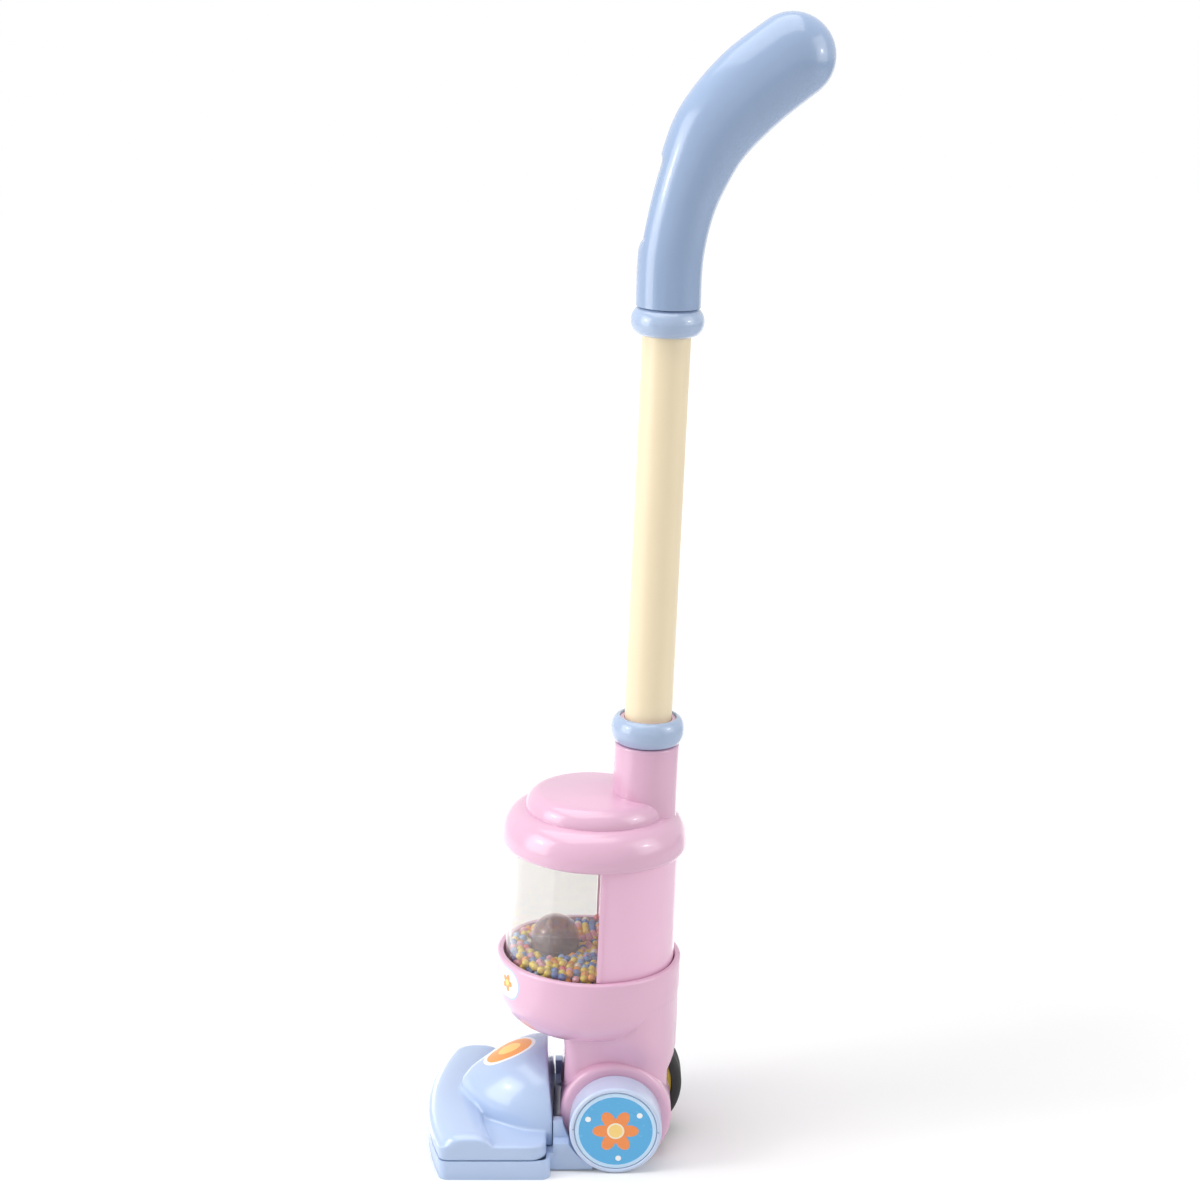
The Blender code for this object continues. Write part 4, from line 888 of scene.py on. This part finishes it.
def housing_shell():
    """Bowl, column and cheeks as one solid."""
    rim = bowl_rim_round
    bowl = [(0.0, bowl_floor_level),
            *arc((bowl_radius - bowl_fillet, bowl_floor_level + bowl_fillet), bowl_fillet, -90, 0, 20),
            *arc((bowl_radius - rim, bowl_rim_level - rim), rim, 0, 90, 6), (0.0, bowl_rim_level)]
    body = lathe("housing_form", bowl, (0.0, body_axis), fine_steps)
    column = column_form()
    cut(column, trim_form(0.0))
    join(body, column, cheek_form("cheeks", cheek_radius, cheek_face, cheek_edge))
    cut(body, sweep_form())
    return body


def gear_room():
    """The hollow of the bowl: gear room below, canister seat above the ledge."""
    floor = bowl_floor_level + wall
    reach = bowl_inner_radius - wall
    fillet = bowl_fillet - (bowl_radius - bowl_inner_radius)
    mouth = bowl_inner_radius + seat_round
    profile = [(0.0, floor), *arc((reach - fillet, floor + fillet), fillet, -90, 0, 10),
               (reach, chamber_ledge), (bowl_inner_radius, chamber_ledge),
               *arc((mouth, bowl_rim_level - seat_round), seat_round, 180, 90, 4),
               (mouth, bowl_rim_level + wall), (0.0, bowl_rim_level + wall)]
    return lathe("gear_room", profile, (0.0, body_axis))


def model_housing():
    body = housing_shell()
    room = gear_room()
    well = prism("well", column_outline(wall, column_rear_half, column_front), -hinge.z - wall, well_ceiling)
    cut(well, trim_form(wall))
    join(well, cheek_form("cheek_room", cheek_radius - wall, cheek_face - wall, cheek_edge - wall / 2))
    shafts = {name: (on_upright.inverted() @ Vector(joints[name + "_spin"]["pos_m"])).xy
              for name in ("stirrer", "idler", "layshaft")}
    posts = upright_screw_places("housing_screw", 4)
    for place in posts:
        cut(room if place[1] > bowl_floor_level else well, rod("post", post_radius, -far, far, place))
    for name in ("stirrer", "idler"):
        cut(room, drum("boss", boss_radius, 0.0, bowl_floor_level + shaft_boss_rise, shafts[name]))
    for side in (1, -1):
        cut(well, rod("axle_boss", boss_radius, lug_slot[1], cheek_face, side=side),
            rod("pin_boss", boss_radius, pin_root - seam_gap, cheek_face, wheel_axis, side=side))
    cut(body, room, well,
        box("rear_slot", (-slot_half, 0.0, -far), (slot_half, far, rear_slot_top)),
        box("front_slot", (-slot_half, -far, -far), (slot_half, 0.0, front_slot_top)))
    for side in (1, -1):
        cut(body, box("lug_slot", (lug_slot[0], -far, -far),
                      (lug_slot[1], -column_front + wall * 2, lug_slot_top), side),
            rod("pin_hole", pin_radius, pin_root, far, wheel_axis, hole_steps, side))
    cut(body, rod("axle_hole", pin_radius, -axle_reach, axle_reach, steps=hole_steps))
    shaft_foot = bowl_floor_level + wall / 2
    for name, low in (("stirrer", shaft_foot), ("idler", shaft_foot), ("layshaft", well_ceiling - wall)):
        cut(body, drum("hole", shaft_radius, low, spur_level, shafts[name], hole_steps))
    cut_screw_holes(body, posts)
    halves = parted(body, ("housing_half_left", "housing_half_right"))
    dressed = moulded_plastic("pink_plastic_with_label", candy_pink, printed=label_print)
    for half, node in zip(halves, ("housing_left", "housing_right")):
        soften(half, 0.0005, 36.0)
        wear(half, dressed, node)


def flower_print(finish, ground, across, up, lobes, core, swell, petal_colour, heart, heart_colour):
    """A plain flower on a ground colour, with twice as many petals as lobes."""
    radius = length(across, up)
    petals = (up.call("ARCTAN2", across) * lobes).call("COSINE").call("ABSOLUTE")
    ground = finish.blend(radius < core + petals * swell, ground, petal_colour)
    return finish.blend(radius < heart, ground, heart_colour)


label_level = 0.0625
label_half_height = 0.0085
label_half_length = 0.0360
label_border = 0.0009
label_block = (0.0120, 0.0046)
label_flower = 0.0250


def label_print(finish, plastic):
    """A plain bordered label wrapped round the front of the bowl."""
    across, back, up = finish.axes(finish.place(hinge, (lean, 0.0, 0.0)))
    forward = body_axis - back
    along = across.call("ARCTAN2", forward) * bowl_radius
    rise = up - label_level
    end = (along.call("ABSOLUTE") - (label_half_length - label_half_height)).call("MAXIMUM", 0.0)
    reach = length(end, rise)
    label = (reach < label_half_height) * (length(across, forward) > bowl_radius - wall / 2)
    block = (along.call("ABSOLUTE") < label_block[0]) * (rise.call("ABSOLUTE") < label_block[1])
    picture = finish.blend(block, (0.84, 0.84, 0.83), (0.80, 0.22, 0.36))
    for centre in (-label_flower, label_flower):
        picture = flower_print(finish, picture, along - centre, rise, lobes=2.5,
                               core=0.0026, swell=0.0022, petal_colour=(0.90, 0.30, 0.06),
                               heart=0.0016, heart_colour=(0.95, 0.70, 0.12))
    picture = finish.blend(reach > label_half_height - label_border, picture, (0.42, 0.58, 0.84))
    return finish.blend(label, plastic, picture)


# Wheels

side_wheel_radius = 0.0241
side_wheel_inner = 0.034
side_wheel_width = 0.017
wheel_bore = 0.0023
wheel_boss = 0.0050
wheel_web = 0.0025
wheel_rim_inner = 0.0221
wheel_edge = 0.0016
face_edge = 0.0008
face_depth = 0.0013
notch_reach = 0.0218
notch_half = 0.0008
notch_depth = 0.0012
disc_seat = 0.0216
print_radius = 0.0213
print_thickness = 0.0006
print_lip = 0.0002
print_border = 0.0192
flower_heart = 0.0045
heart_ring = 0.0036
spot_radius = 0.0015
spots = ((35.0, 0.0152), (155.0, 0.0158), (275.0, 0.0155))


def model_side_wheel(side_name, side):
    inner = side_wheel_inner
    outer = inner + side_wheel_width
    recess = outer - face_depth
    profile = [(wheel_bore, inner), (wheel_boss, inner), (wheel_boss, recess - wheel_web),
               (wheel_rim_inner, recess - wheel_web), (wheel_rim_inner, inner),
               *arc((side_wheel_radius - wheel_edge, inner + wheel_edge), wheel_edge, -90, 0, 8),
               *arc((side_wheel_radius - wheel_edge, outer - wheel_edge), wheel_edge, 0, 90, 8),
               *arc((disc_seat + face_edge, outer - face_edge), face_edge, 90, 180, 4),
               (disc_seat, recess), (wheel_bore, recess)]
    wheel = tidy(along_x(lathe("wheel_" + side_name, profile), wheel_axis, side))
    for back in (-wheel_back - notch_reach, -wheel_back + notch_reach):
        cut(wheel, box("notch", (outer - notch_depth, back - notch_half, -wheel_drop - seam_gap),
                       (outer + seam_gap, back + notch_half, -wheel_drop + seam_gap), side))
    smooth(wheel)
    wear(wheel, wheel_plastic_painted_light, "side_wheel_" + side_name, side_name + "_wheel")

    low, high = recess + seam_gap, recess + print_thickness
    disc = lathe("disc_" + side_name, [(0.0, low), (print_radius, low), (print_radius, high),
                                       (print_radius - print_lip, low + print_thickness),
                                       (0.0, low + print_thickness)])
    tidy(along_x(disc, wheel_axis, side))
    smooth(disc)
    wear(disc, disc_finish(side_name), "wheel_disc_" + side_name, side_name + "_wheel")


def disc_finish(side_name):
    """A plain flower on a blue ground, with three loose petals."""
    centre = on_upright @ Vector((0.0, -wheel_back, -wheel_drop))
    finish = Finish("flower_disc_" + side_name)
    _, across, up = finish.axes(finish.place(centre))
    radius = length(across, up)
    picture = finish.blend(radius > print_border, (0.085, 0.420, 0.750), (0.55, 0.74, 0.93))
    for angle, reach in spots:
        side = across - reach * math.cos(math.radians(angle))
        rise = up - reach * math.sin(math.radians(angle))
        picture = finish.blend(side * side + rise * rise < spot_radius ** 2, picture, (0.92, 0.92, 0.90))
    picture = flower_print(finish, picture, across, up, lobes=3.0,
                           core=0.0062, swell=0.0058, petal_colour=(0.90, 0.27, 0.06),
                           heart=flower_heart, heart_colour=(0.95, 0.66, 0.20))
    picture = finish.blend((radius > heart_ring) * (radius < flower_heart), picture, (0.93, 0.82, 0.60))
    grain = finish.noise(300.0, 2.0)
    finish.set(base_color=picture, roughness=0.26 + (grain - 0.5) * 0.08, coat_weight=0.4,
               coat_roughness=0.06)
    return finish.material


tyre_radius = 0.031
tyre_seat = 0.0258
tyre_half = 0.009
tyre_shoulder = 0.003
groove = 0.0005
groove_levels = (-0.0030, 0.0, 0.0030)


def model_tyre():
    shoulder = tyre_shoulder
    profile = [(tyre_seat, -tyre_half),
               *arc((tyre_radius - shoulder, -tyre_half + shoulder), shoulder, -90, 0, 8)]
    for level in groove_levels:
        profile += [(tyre_radius, level - groove), (tyre_radius - groove, level - groove / 2),
                    (tyre_radius - groove, level + groove / 2), (tyre_radius, level + groove)]
    profile += [*arc((tyre_radius - shoulder, tyre_half - shoulder), shoulder, 0, 90, 8),
                (tyre_seat, tyre_half)]
    tyre = along_x(lathe("tyre", profile, steps=fine_steps))
    smooth(tyre)
    wear(tyre, rubber_finish(), "drive_tyre", "drive_wheel")


def model_hub():
    """The frame's spoked hub with its crown gear, its rim brought out to the tyre."""
    hub = bpy.data.objects.new("spoked_hub", frame["nodes"]["drive_hub"].data.copy())
    bpy.context.collection.objects.link(hub)
    tidy(hub)
    rim = max((vertex.co - hinge).yz.length for vertex in hub.data.vertices)
    growth = tyre_seat - seam_gap - rim
    for vertex in hub.data.vertices:
        out = (vertex.co - hinge).yz
        if out.length > rim - seam_gap:
            out = out.normalized() * (out.length + growth)
            vertex.co.y = hinge.y + out.x
            vertex.co.z = hinge.z + out.y
    soften(hub, 0.0002, 50.0)
    wear(hub, yellow_plastic, "drive_hub", "drive_wheel", Matrix.Identity(4))


# Grip: its shares are of the rise, of the reach back and of the swell from foot to head

grip_foot = 0.4169
grip_rise = 0.1239
grip_reach = 0.0539
foot_depth = 0.0162
head_depth = 0.0215
foot_width = 0.0162
head_width = 0.0174
grip_shares = ((0.00, 0.000, 0.00), (0.20, 0.000, 0.02), (0.39, 0.070, 0.06), (0.55, 0.180, 0.33),
               (0.71, 0.345, 0.75), (0.87, 0.650, 1.00), (1.00, 1.000, 0.97))
recess_half = 0.0074
recess_depth = 0.0024
recess_lip = 0.0016
recess_from = 0.225
recess_to = 0.552
recess_ends = 4
grip_solid = 0.62
head_rings = 12


def blended(values, position):
    """Smooth value at a position along a list, through every entry."""
    last = len(values) - 1
    index = min(int(position), last - 1)
    part = position - index
    before = values[max(index - 1, 0)]
    here, there = values[index], values[index + 1]
    after = values[min(index + 2, last)]
    return 0.5 * (2 * here + (there - before) * part
                  + (2 * before - 5 * here + 4 * there - after) * part ** 2
                  + (3 * here - before - 3 * there + after) * part ** 3)


def grip_station(position):
    """Place, direction, depth and width of the grip at a position along its spine."""
    rises, backs, swells = (list(column) for column in zip(*grip_shares))
    swell = blended(swells, position)
    place = Vector((neck_axis + grip_reach * blended(backs, position),
                    grip_foot + grip_rise * blended(rises, position)))
    step = 0.01
    low, high = max(position - step, 0.0), min(position + step, len(rises) - 1.0)
    run = Vector((grip_reach * (blended(backs, high) - blended(backs, low)),
                  grip_rise * (blended(rises, high) - blended(rises, low))))
    return (place, run.normalized(), foot_depth + (head_depth - foot_depth) * swell,
            foot_width + (head_width - foot_width) * swell)


def grip_ring(place, run, depth, width, dip, sides):
    """One ring square to the spine; dip presses the front in between two soft lips."""
    front = Vector((-run.y, run.x))
    ring_points = []
    for index in range(sides):
        turn = math.tau * (index + 0.5) / sides
        across = width * math.sin(turn)
        out = depth * math.cos(turn)
        level = depth - recess_depth * dip
        if dip > 0 and out > max(0.0, level):
            lip = min(1.0, max(0.0, (recess_half - abs(across)) / recess_lip))
            out += (level - out) * (lip * lip * (3 - 2 * lip))
        flat = place + front * out
        ring_points.append(Vector((across, flat.x, flat.y)))
    return ring_points


def grip_skin(name, inset, sides, per_span):
    """A closed skin along the grip's spine, inset below its surface."""
    spans = len(grip_shares) - 1
    rings = []
    for index in range(spans * per_span + 1):
        position = index / per_span
        place, run, depth, width = grip_station(position)
        share = blended([row[0] for row in grip_shares], position)
        into = (share - recess_from) / (recess_to - recess_from)
        dip = min(1.0, recess_ends * math.sin(math.pi * into)) if 0 < into < 1 and not inset else 0.0
        rings.append(grip_ring(place, run, depth - inset, width - inset, dip, sides))
    place, run, depth, width = grip_station(float(spans))
    depth, width = depth - inset, width - inset
    for index in range(1, head_rings):
        turn = math.pi / 2 * index / head_rings
        rings.append(grip_ring(place + run * (depth * math.sin(turn)), run,
                               depth * math.cos(turn), width * math.cos(turn), 0.0, sides))
    return skin(name, rings)


def model_grip():
    grip = grip_skin("grip_form", 0.0, sides=72, per_span=12)
    room = grip_skin("grip_room", wall, sides=36, per_span=6)
    cut(room, box("solid_foot", (-far, -far, 0.0), (far, far, grip_foot + grip_rise * grip_solid)))
    posts = upright_screw_places("grip_screw", 3)
    cut(room, *[rod("post", post_radius, -far, far, place) for place in posts])
    cut(grip, room, drum("bore", tube_radius + seam_gap, grip_foot - wall, tube_top + seam_gap,
                         (0.0, neck_axis), round_steps))
    cut_screw_holes(grip, posts)
    halves = parted(grip, ("grip_half_left", "grip_half_right"))
    for half, node in zip(halves, ("grip_left", "grip_right")):
        smooth(half)
        wear(half, dusk_blue_plastic, node)


# Nozzle: its levels are above the floor, and its shares are of the hump's length, width and height

nozzle_half = 0.0576
nozzle_reach = 0.1045
nozzle_bow = 0.0093
nozzle_rear = 0.0385
shell_setback = 0.002
shell_corner = 0.008
nozzle_corner = 0.005
base_height = 0.0103
shelf_height = 0.0187
bar_depth = 0.028
bar_setback = 0.0012
bar_height = 0.0247
bar_round = 0.0024
bar_power = 0.75
bar_steps = 32
hump_height = 0.0515
hump_half = 0.0405
hump_front = 0.0865
hump_rear = 0.0405
hump_slope = 0.0032
hump_powers = (0.85, 0.80)
hump_steps = 48
hump_shares = ((0.00, 0.10, 0.58), (0.05, 0.22, 0.64), (0.13, 0.38, 0.71), (0.30, 0.62, 0.80),
               (0.50, 0.80, 0.905), (0.70, 0.92, 0.97), (0.87, 0.98, 1.00), (1.00, 1.00, 1.00))
yoke_height = 0.0245
voxel = 0.0007


def nozzle_front(x):
    return -nozzle_reach + nozzle_bow * (x / nozzle_half) ** 2


def bulge(turn, power):
    """Cosine of a turn, fuller or leaner by a power, with its sign."""
    return math.copysign(abs(math.cos(turn)) ** power, math.cos(turn))


def nozzle_outline(inset, setback=0.0, rear_corner=nozzle_corner):
    """Plan of the nozzle: bowed front, rounded rear corners."""
    half = nozzle_half - inset
    rear = -nozzle_rear - inset - setback
    corner = nozzle_corner - min(inset, nozzle_corner / 2)
    rear_corner = rear_corner - min(inset, rear_corner / 2)
    steps = 36
    front = []
    for index in range(steps + 1):
        x = -half + corner + 2 * (half - corner) * index / steps
        front.append((x, nozzle_front(x) + inset))
    return [*front, *arc((half - corner, front[-1][1] + corner), corner, -90, 0, 8)[1:],
            *arc((half - rear_corner, rear - rear_corner), rear_corner, 0, 90, 8),
            *arc((-half + rear_corner, rear - rear_corner), rear_corner, 90, 180, 8),
            *arc((-half + corner, front[0][1] + corner), corner, 180, 270, 8)[:-1]]


def bar_form(inset):
    """The raised bar along the nozzle's front, rounded off at both ends."""
    foot = base_height + seam_gap - inset / 2
    waist = (base_height + shelf_height) / 2
    half = bar_depth / 2 - inset
    rise = bar_height - waist - inset
    reach = nozzle_half - inset
    span = reach - bar_round * 2
    stations = [-reach, -reach + bar_round / 4, -reach + bar_round, -reach + bar_round * 2,
                *(-span + 2 * span * index / bar_steps for index in range(1, bar_steps)),
                reach - bar_round * 2, reach - bar_round, reach - bar_round / 4, reach]
    rings = []
    for x in stations:
        end = max(0.0, 1 - (reach - abs(x)) / (bar_round * 2))
        shrink = bar_round * end ** 2
        centre = nozzle_front(x) + bar_setback + bar_depth / 2
        points = [Vector((x, centre - half + shrink, foot))]
        for index in range(bar_steps + 1):
            turn = math.pi - math.pi * index / bar_steps
            points.append(Vector((x, centre + (half - shrink) * bulge(turn, bar_power),
                                  waist + (rise - shrink) * math.sin(turn) ** bar_power)))
        rings.append([*points, Vector((x, centre + half - shrink, foot))])
    return skin("bar", rings)


def hump_form(inset):
    """The hump over the drive wheel, which runs down to the bar."""
    foot = base_height + seam_gap - inset * 2
    columns = [list(column) for column in zip(*hump_shares)]
    wide_power, high_power = hump_powers
    rings = []
    for index in range(hump_steps + 1):
        position = (len(hump_shares) - 1) * index / hump_steps
        share, width_share, height_share = (blended(column, position) for column in columns)
        y = -hump_front + (hump_front - hump_rear) * share + inset * (1 - 2 * share)
        half = hump_half * width_share - inset
        top = hump_height * height_share - inset
        lean_back = hump_slope * share ** 3 / (hump_height - yoke_height)
        points = []
        for side in range(hump_steps + 1):
            turn = math.pi * side / hump_steps
            z = foot + (top - foot) * math.sin(turn) ** high_power if 0 < side < hump_steps else foot
            points.append(Vector((half * bulge(turn, wide_power),
                                  y + lean_back * (hump_height - max(z, yoke_height)), z)))
        rings.append(points)
    return skin("hump", rings)


def model_nozzle_top():
    low = base_height + seam_gap
    inset = wall + seam_gap
    shell = prism("nozzle_form", nozzle_outline(0.0, shell_setback, shell_corner), low, shelf_height)
    join(shell, bar_form(0.0), hump_form(0.0))
    modify(shell, "REMESH", mode="VOXEL", voxel_size=voxel, adaptivity=0.0)
    modify(shell, "SMOOTH", factor=0.5, iterations=10)
    room = prism("room", nozzle_outline(inset, shell_setback, shell_corner), low - wall, shelf_height - inset)
    join(room, bar_form(inset), hump_form(inset))
    for place in screw_places("base_screw", 4):
        cut(room, drum("post", post_radius, 0.0, hump_height, (place.x, place.y - hinge.y)))
    cut(shell, room, solver="MANIFOLD")
    smooth(shell, 50.0)
    shell.name = "nozzle_shell"
    dressed = moulded_plastic("light_blue_plastic_with_patch", light_blue, printed=patch_print)
    wear(shell, dressed, "nozzle_top", "nozzle_head", on_nozzle)


patch_forward = 0.061
patch_half_width = 0.0115
patch_half_length = 0.0140
patch_foot = 0.030
patch_field = 0.86
patch_heart = 0.42


def patch_print(finish, plastic):
    """A plain white-edged patch on the ridge of the hump."""
    across, back, up = finish.axes(finish.place((0.0, hinge.y - patch_forward, 0.0)))
    reach = length(across / patch_half_width, back / patch_half_length)
    picture = finish.blend(reach < patch_field, (0.86, 0.86, 0.85), (0.90, 0.32, 0.05))
    picture = finish.blend(reach < patch_heart, picture, (0.95, 0.62, 0.14))
    return finish.blend((reach < 1.0) * (up > patch_foot), plastic, picture)


nozzle_floor = 0.003
yoke_tail = 0.0165
yoke_middle = 0.017
arm_height = 0.0156
arm_half = 0.048
arm_floor = 0.001
sweep_gap = 0.0007
lug_inner = 0.0190
lug_outer = 0.0235
lug_radius = 0.007
slot_length = 0.070
slot_width = 0.012
slot_setback = 0.006
tilt_degrees = 50.0


def wheel_sweep(side):
    """The room that a side wheel takes as the handle tilts."""
    reach = side_wheel_radius + sweep_gap
    steps = 12
    centres = []
    for step in range(steps + 1):
        turn = lean + math.radians(tilt_degrees) * step / steps
        centres.append(Vector((-wheel_back * math.cos(turn) - wheel_drop * math.sin(turn),
                               hinge.z + wheel_back * math.sin(turn) - wheel_drop * math.cos(turn))))
    outline = []
    for step in range(round_steps):
        turn = math.tau * step / round_steps
        out = Vector((math.cos(turn), math.sin(turn)))
        outline.append((max(centres, key=out.dot) + out * reach)[:])
    return slab("wheel_sweep", outline, side_wheel_inner - seam_gap * 2, nozzle_half, side)


def yoke_form():
    """Rear of the base: a block between two arms, cut back round the wheels and the column."""
    joint = -nozzle_rear - nozzle_corner
    away = nozzle_half * 2
    across = side_wheel_inner
    rear = box("yoke", (-hump_half, joint, arm_floor), (hump_half, -yoke_tail, yoke_height))
    join(rear, box("arms", (-arm_half, joint, arm_floor), (arm_half, -yoke_tail, arm_height)))
    cut(rear, wheel_sweep(1), wheel_sweep(-1),
        rod("sweep", front_sweep + sweep_gap, -across, across, (0.0, hinge.z), round_steps),
        box("middle", (-across, -away, yoke_middle), (across, away, away)),
        box("under_hump", (-away, -away, base_height), (away, -hump_rear + hump_slope + seam_gap, away)))
    return rear


def model_nozzle_base():
    base = prism("nozzle_tray", nozzle_outline(0.0), 0.0, base_height)
    cut(base, prism("tray", nozzle_outline(wall), nozzle_floor, base_height + wall))
    join(base, yoke_form())
    root = -hump_rear + hump_slope + seam_gap * 2
    lug = [(root, nozzle_floor), (root, yoke_middle - seam_gap),
           *arc((0.0, hinge.z), lug_radius, 120, -60, 16)]
    for side in (1, -1):
        join(base, slab("lug", lug, lug_inner, lug_outer, side))
    front = nozzle_front(0.0) + slot_setback
    cut(base, rod("pivot_hole", pin_radius, -axle_reach, axle_reach, (0.0, hinge.z)),
        box("suction_slot", (-slot_length / 2, front, -nozzle_half * 2),
            (slot_length / 2, front + slot_width, nozzle_floor + wall)))
    head, shank = screw_head + seam_gap, screw_shank + seam_gap
    for place in screw_places("base_screw", 4):
        cut(base, lathe("hole", [(0.0, -wall), (head, -wall), (head, wall), (shank, wall),
                                 (shank, nozzle_floor + wall), (0.0, nozzle_floor + wall)],
                        (place.x, place.y - hinge.y), post_steps))
    soften(base, 0.0005, 40.0)
    wear(base, blue_plastic, "nozzle_base", "nozzle_head", on_nozzle)


# Lights, floor and backdrop

lamp_target = Vector((0.0, 0.0, 0.25))
lamps = {
    "top_softbox": ((0.05, -0.20, 1.60), (1.4, 1.4), 15.5),
    "left_softbox": ((0.35, -1.25, 0.65), (0.8, 1.1), 10.5),
    "right_softbox": ((0.35, 1.25, 0.80), (0.8, 1.1), 6.0),
    "left_lamp": ((0.33, -1.10, 0.72), (0.10, 0.10), 1.3),
    "right_lamp": ((0.33, 1.10, 0.72), (0.10, 0.10), 1.0),
}
world_fill = 0.38
floor_size = 8.0
floor_white = (0.86, 0.86, 0.86, 1.0)
floor_glow = 0.05
far_glow = 0.72
glow_from = 0.30
glow_reach = 1.55
backdrop_shine = 0.8
backdrop_from = 0.10


def add_lamps():
    for name, (place, size, power) in lamps.items():
        lamp = bpy.data.lights.new(name, "AREA")
        lamp.shape = "RECTANGLE"
        lamp.size, lamp.size_y = size
        lamp.energy = power
        light = bpy.data.objects.new(name, lamp)
        light.location = place
        light.rotation_euler = (lamp_target - Vector(place)).to_track_quat("-Z", "Y").to_euler()
        bpy.context.scene.collection.objects.link(light)


def rays(finish):
    """What the camera sees, and what shows in a reflection or through a clear piece."""
    seen = finish.node("ShaderNodeLightPath", output="Is Camera Ray")
    return seen, seen.part("Is Glossy Ray").call("MAXIMUM", seen.part("Is Transmission Ray"))


def add_world():
    """White to the camera and in reflections, and a soft fill for the rest."""
    world = bpy.context.scene.world or bpy.data.worlds.new("studio")
    bpy.context.scene.world = world
    sky = Finish("studio", world)
    sky.tree.nodes.clear()
    seen, mirrored = rays(sky)
    fill, bright = (sky.node("ShaderNodeBackground", None, {"Color": white, "Strength": strength})
                    for strength in (world_fill, 1.0))
    sky.surface(sky.node("ShaderNodeMixShader", None,
                         {0: seen.call("MAXIMUM", mirrored), 1: fill, 2: bright}))


def add_floor():
    """A floor that keeps the shadow and turns white towards the backdrop."""
    activate()
    bpy.ops.mesh.primitive_plane_add(size=floor_size)
    floor = bpy.context.active_object
    floor.name = "studio_floor"
    finish = Finish("white_floor")
    across, back, _ = finish.axes(finish.place())
    far_off = ((length(across, back) - glow_from) / glow_reach).call("MAXIMUM", 0.0).call("MINIMUM", 1.0)
    seen, mirrored = rays(finish)
    behind = (across * -1.0 - back - backdrop_from > 0.0) * backdrop_shine
    strength = seen * (far_off * (far_glow - floor_glow) + floor_glow) + mirrored * behind
    diffuse = finish.node("ShaderNodeBsdfDiffuse", None, {"Color": floor_white})
    glow = finish.node("ShaderNodeEmission", None, {"Color": white, "Strength": strength})
    finish.surface(finish.node("ShaderNodeAddShader", None, {0: diffuse, 1: glow}))
    floor.data.materials.append(finish.material)


# What stays of the frame gets its finish

def dress_nodes():
    finishes = {"steel": steel, "yellow": yellow_plastic, "white": white_plastic, "smoke": smoky_plastic,
                "sky_blue": blue_plastic, "pink": pink_plastic}
    for part in frame["record"]["subparts"]:
        material = mauve_plastic if part["node"] == "stirrer_hub" else finishes.get(part["material_slot"])
        if material:
            node = frame["nodes"][part["node"]]
            node.data.materials.clear()
            node.data.materials.append(material)


add_camera()
dress_nodes()
model_cover()
model_tube()
model_collar("socket_collar", "socket_ring", spigot_radius + seam_gap, socket_collar_radius,
             neck_top + seam_gap)
model_collar("grip_collar", "grip_ring", tube_radius + seam_gap, grip_collar_radius, grip_collar_level)
model_rear_shell()
model_window()
model_dome()
model_beads()
model_housing()
model_side_wheel("left", 1)
model_side_wheel("right", -1)
model_tyre()
model_hub()
model_grip()
model_nozzle_top()
model_nozzle_base()
add_floor()
add_lamps()
add_world()
bpy.context.scene.view_settings.view_transform = "Standard"
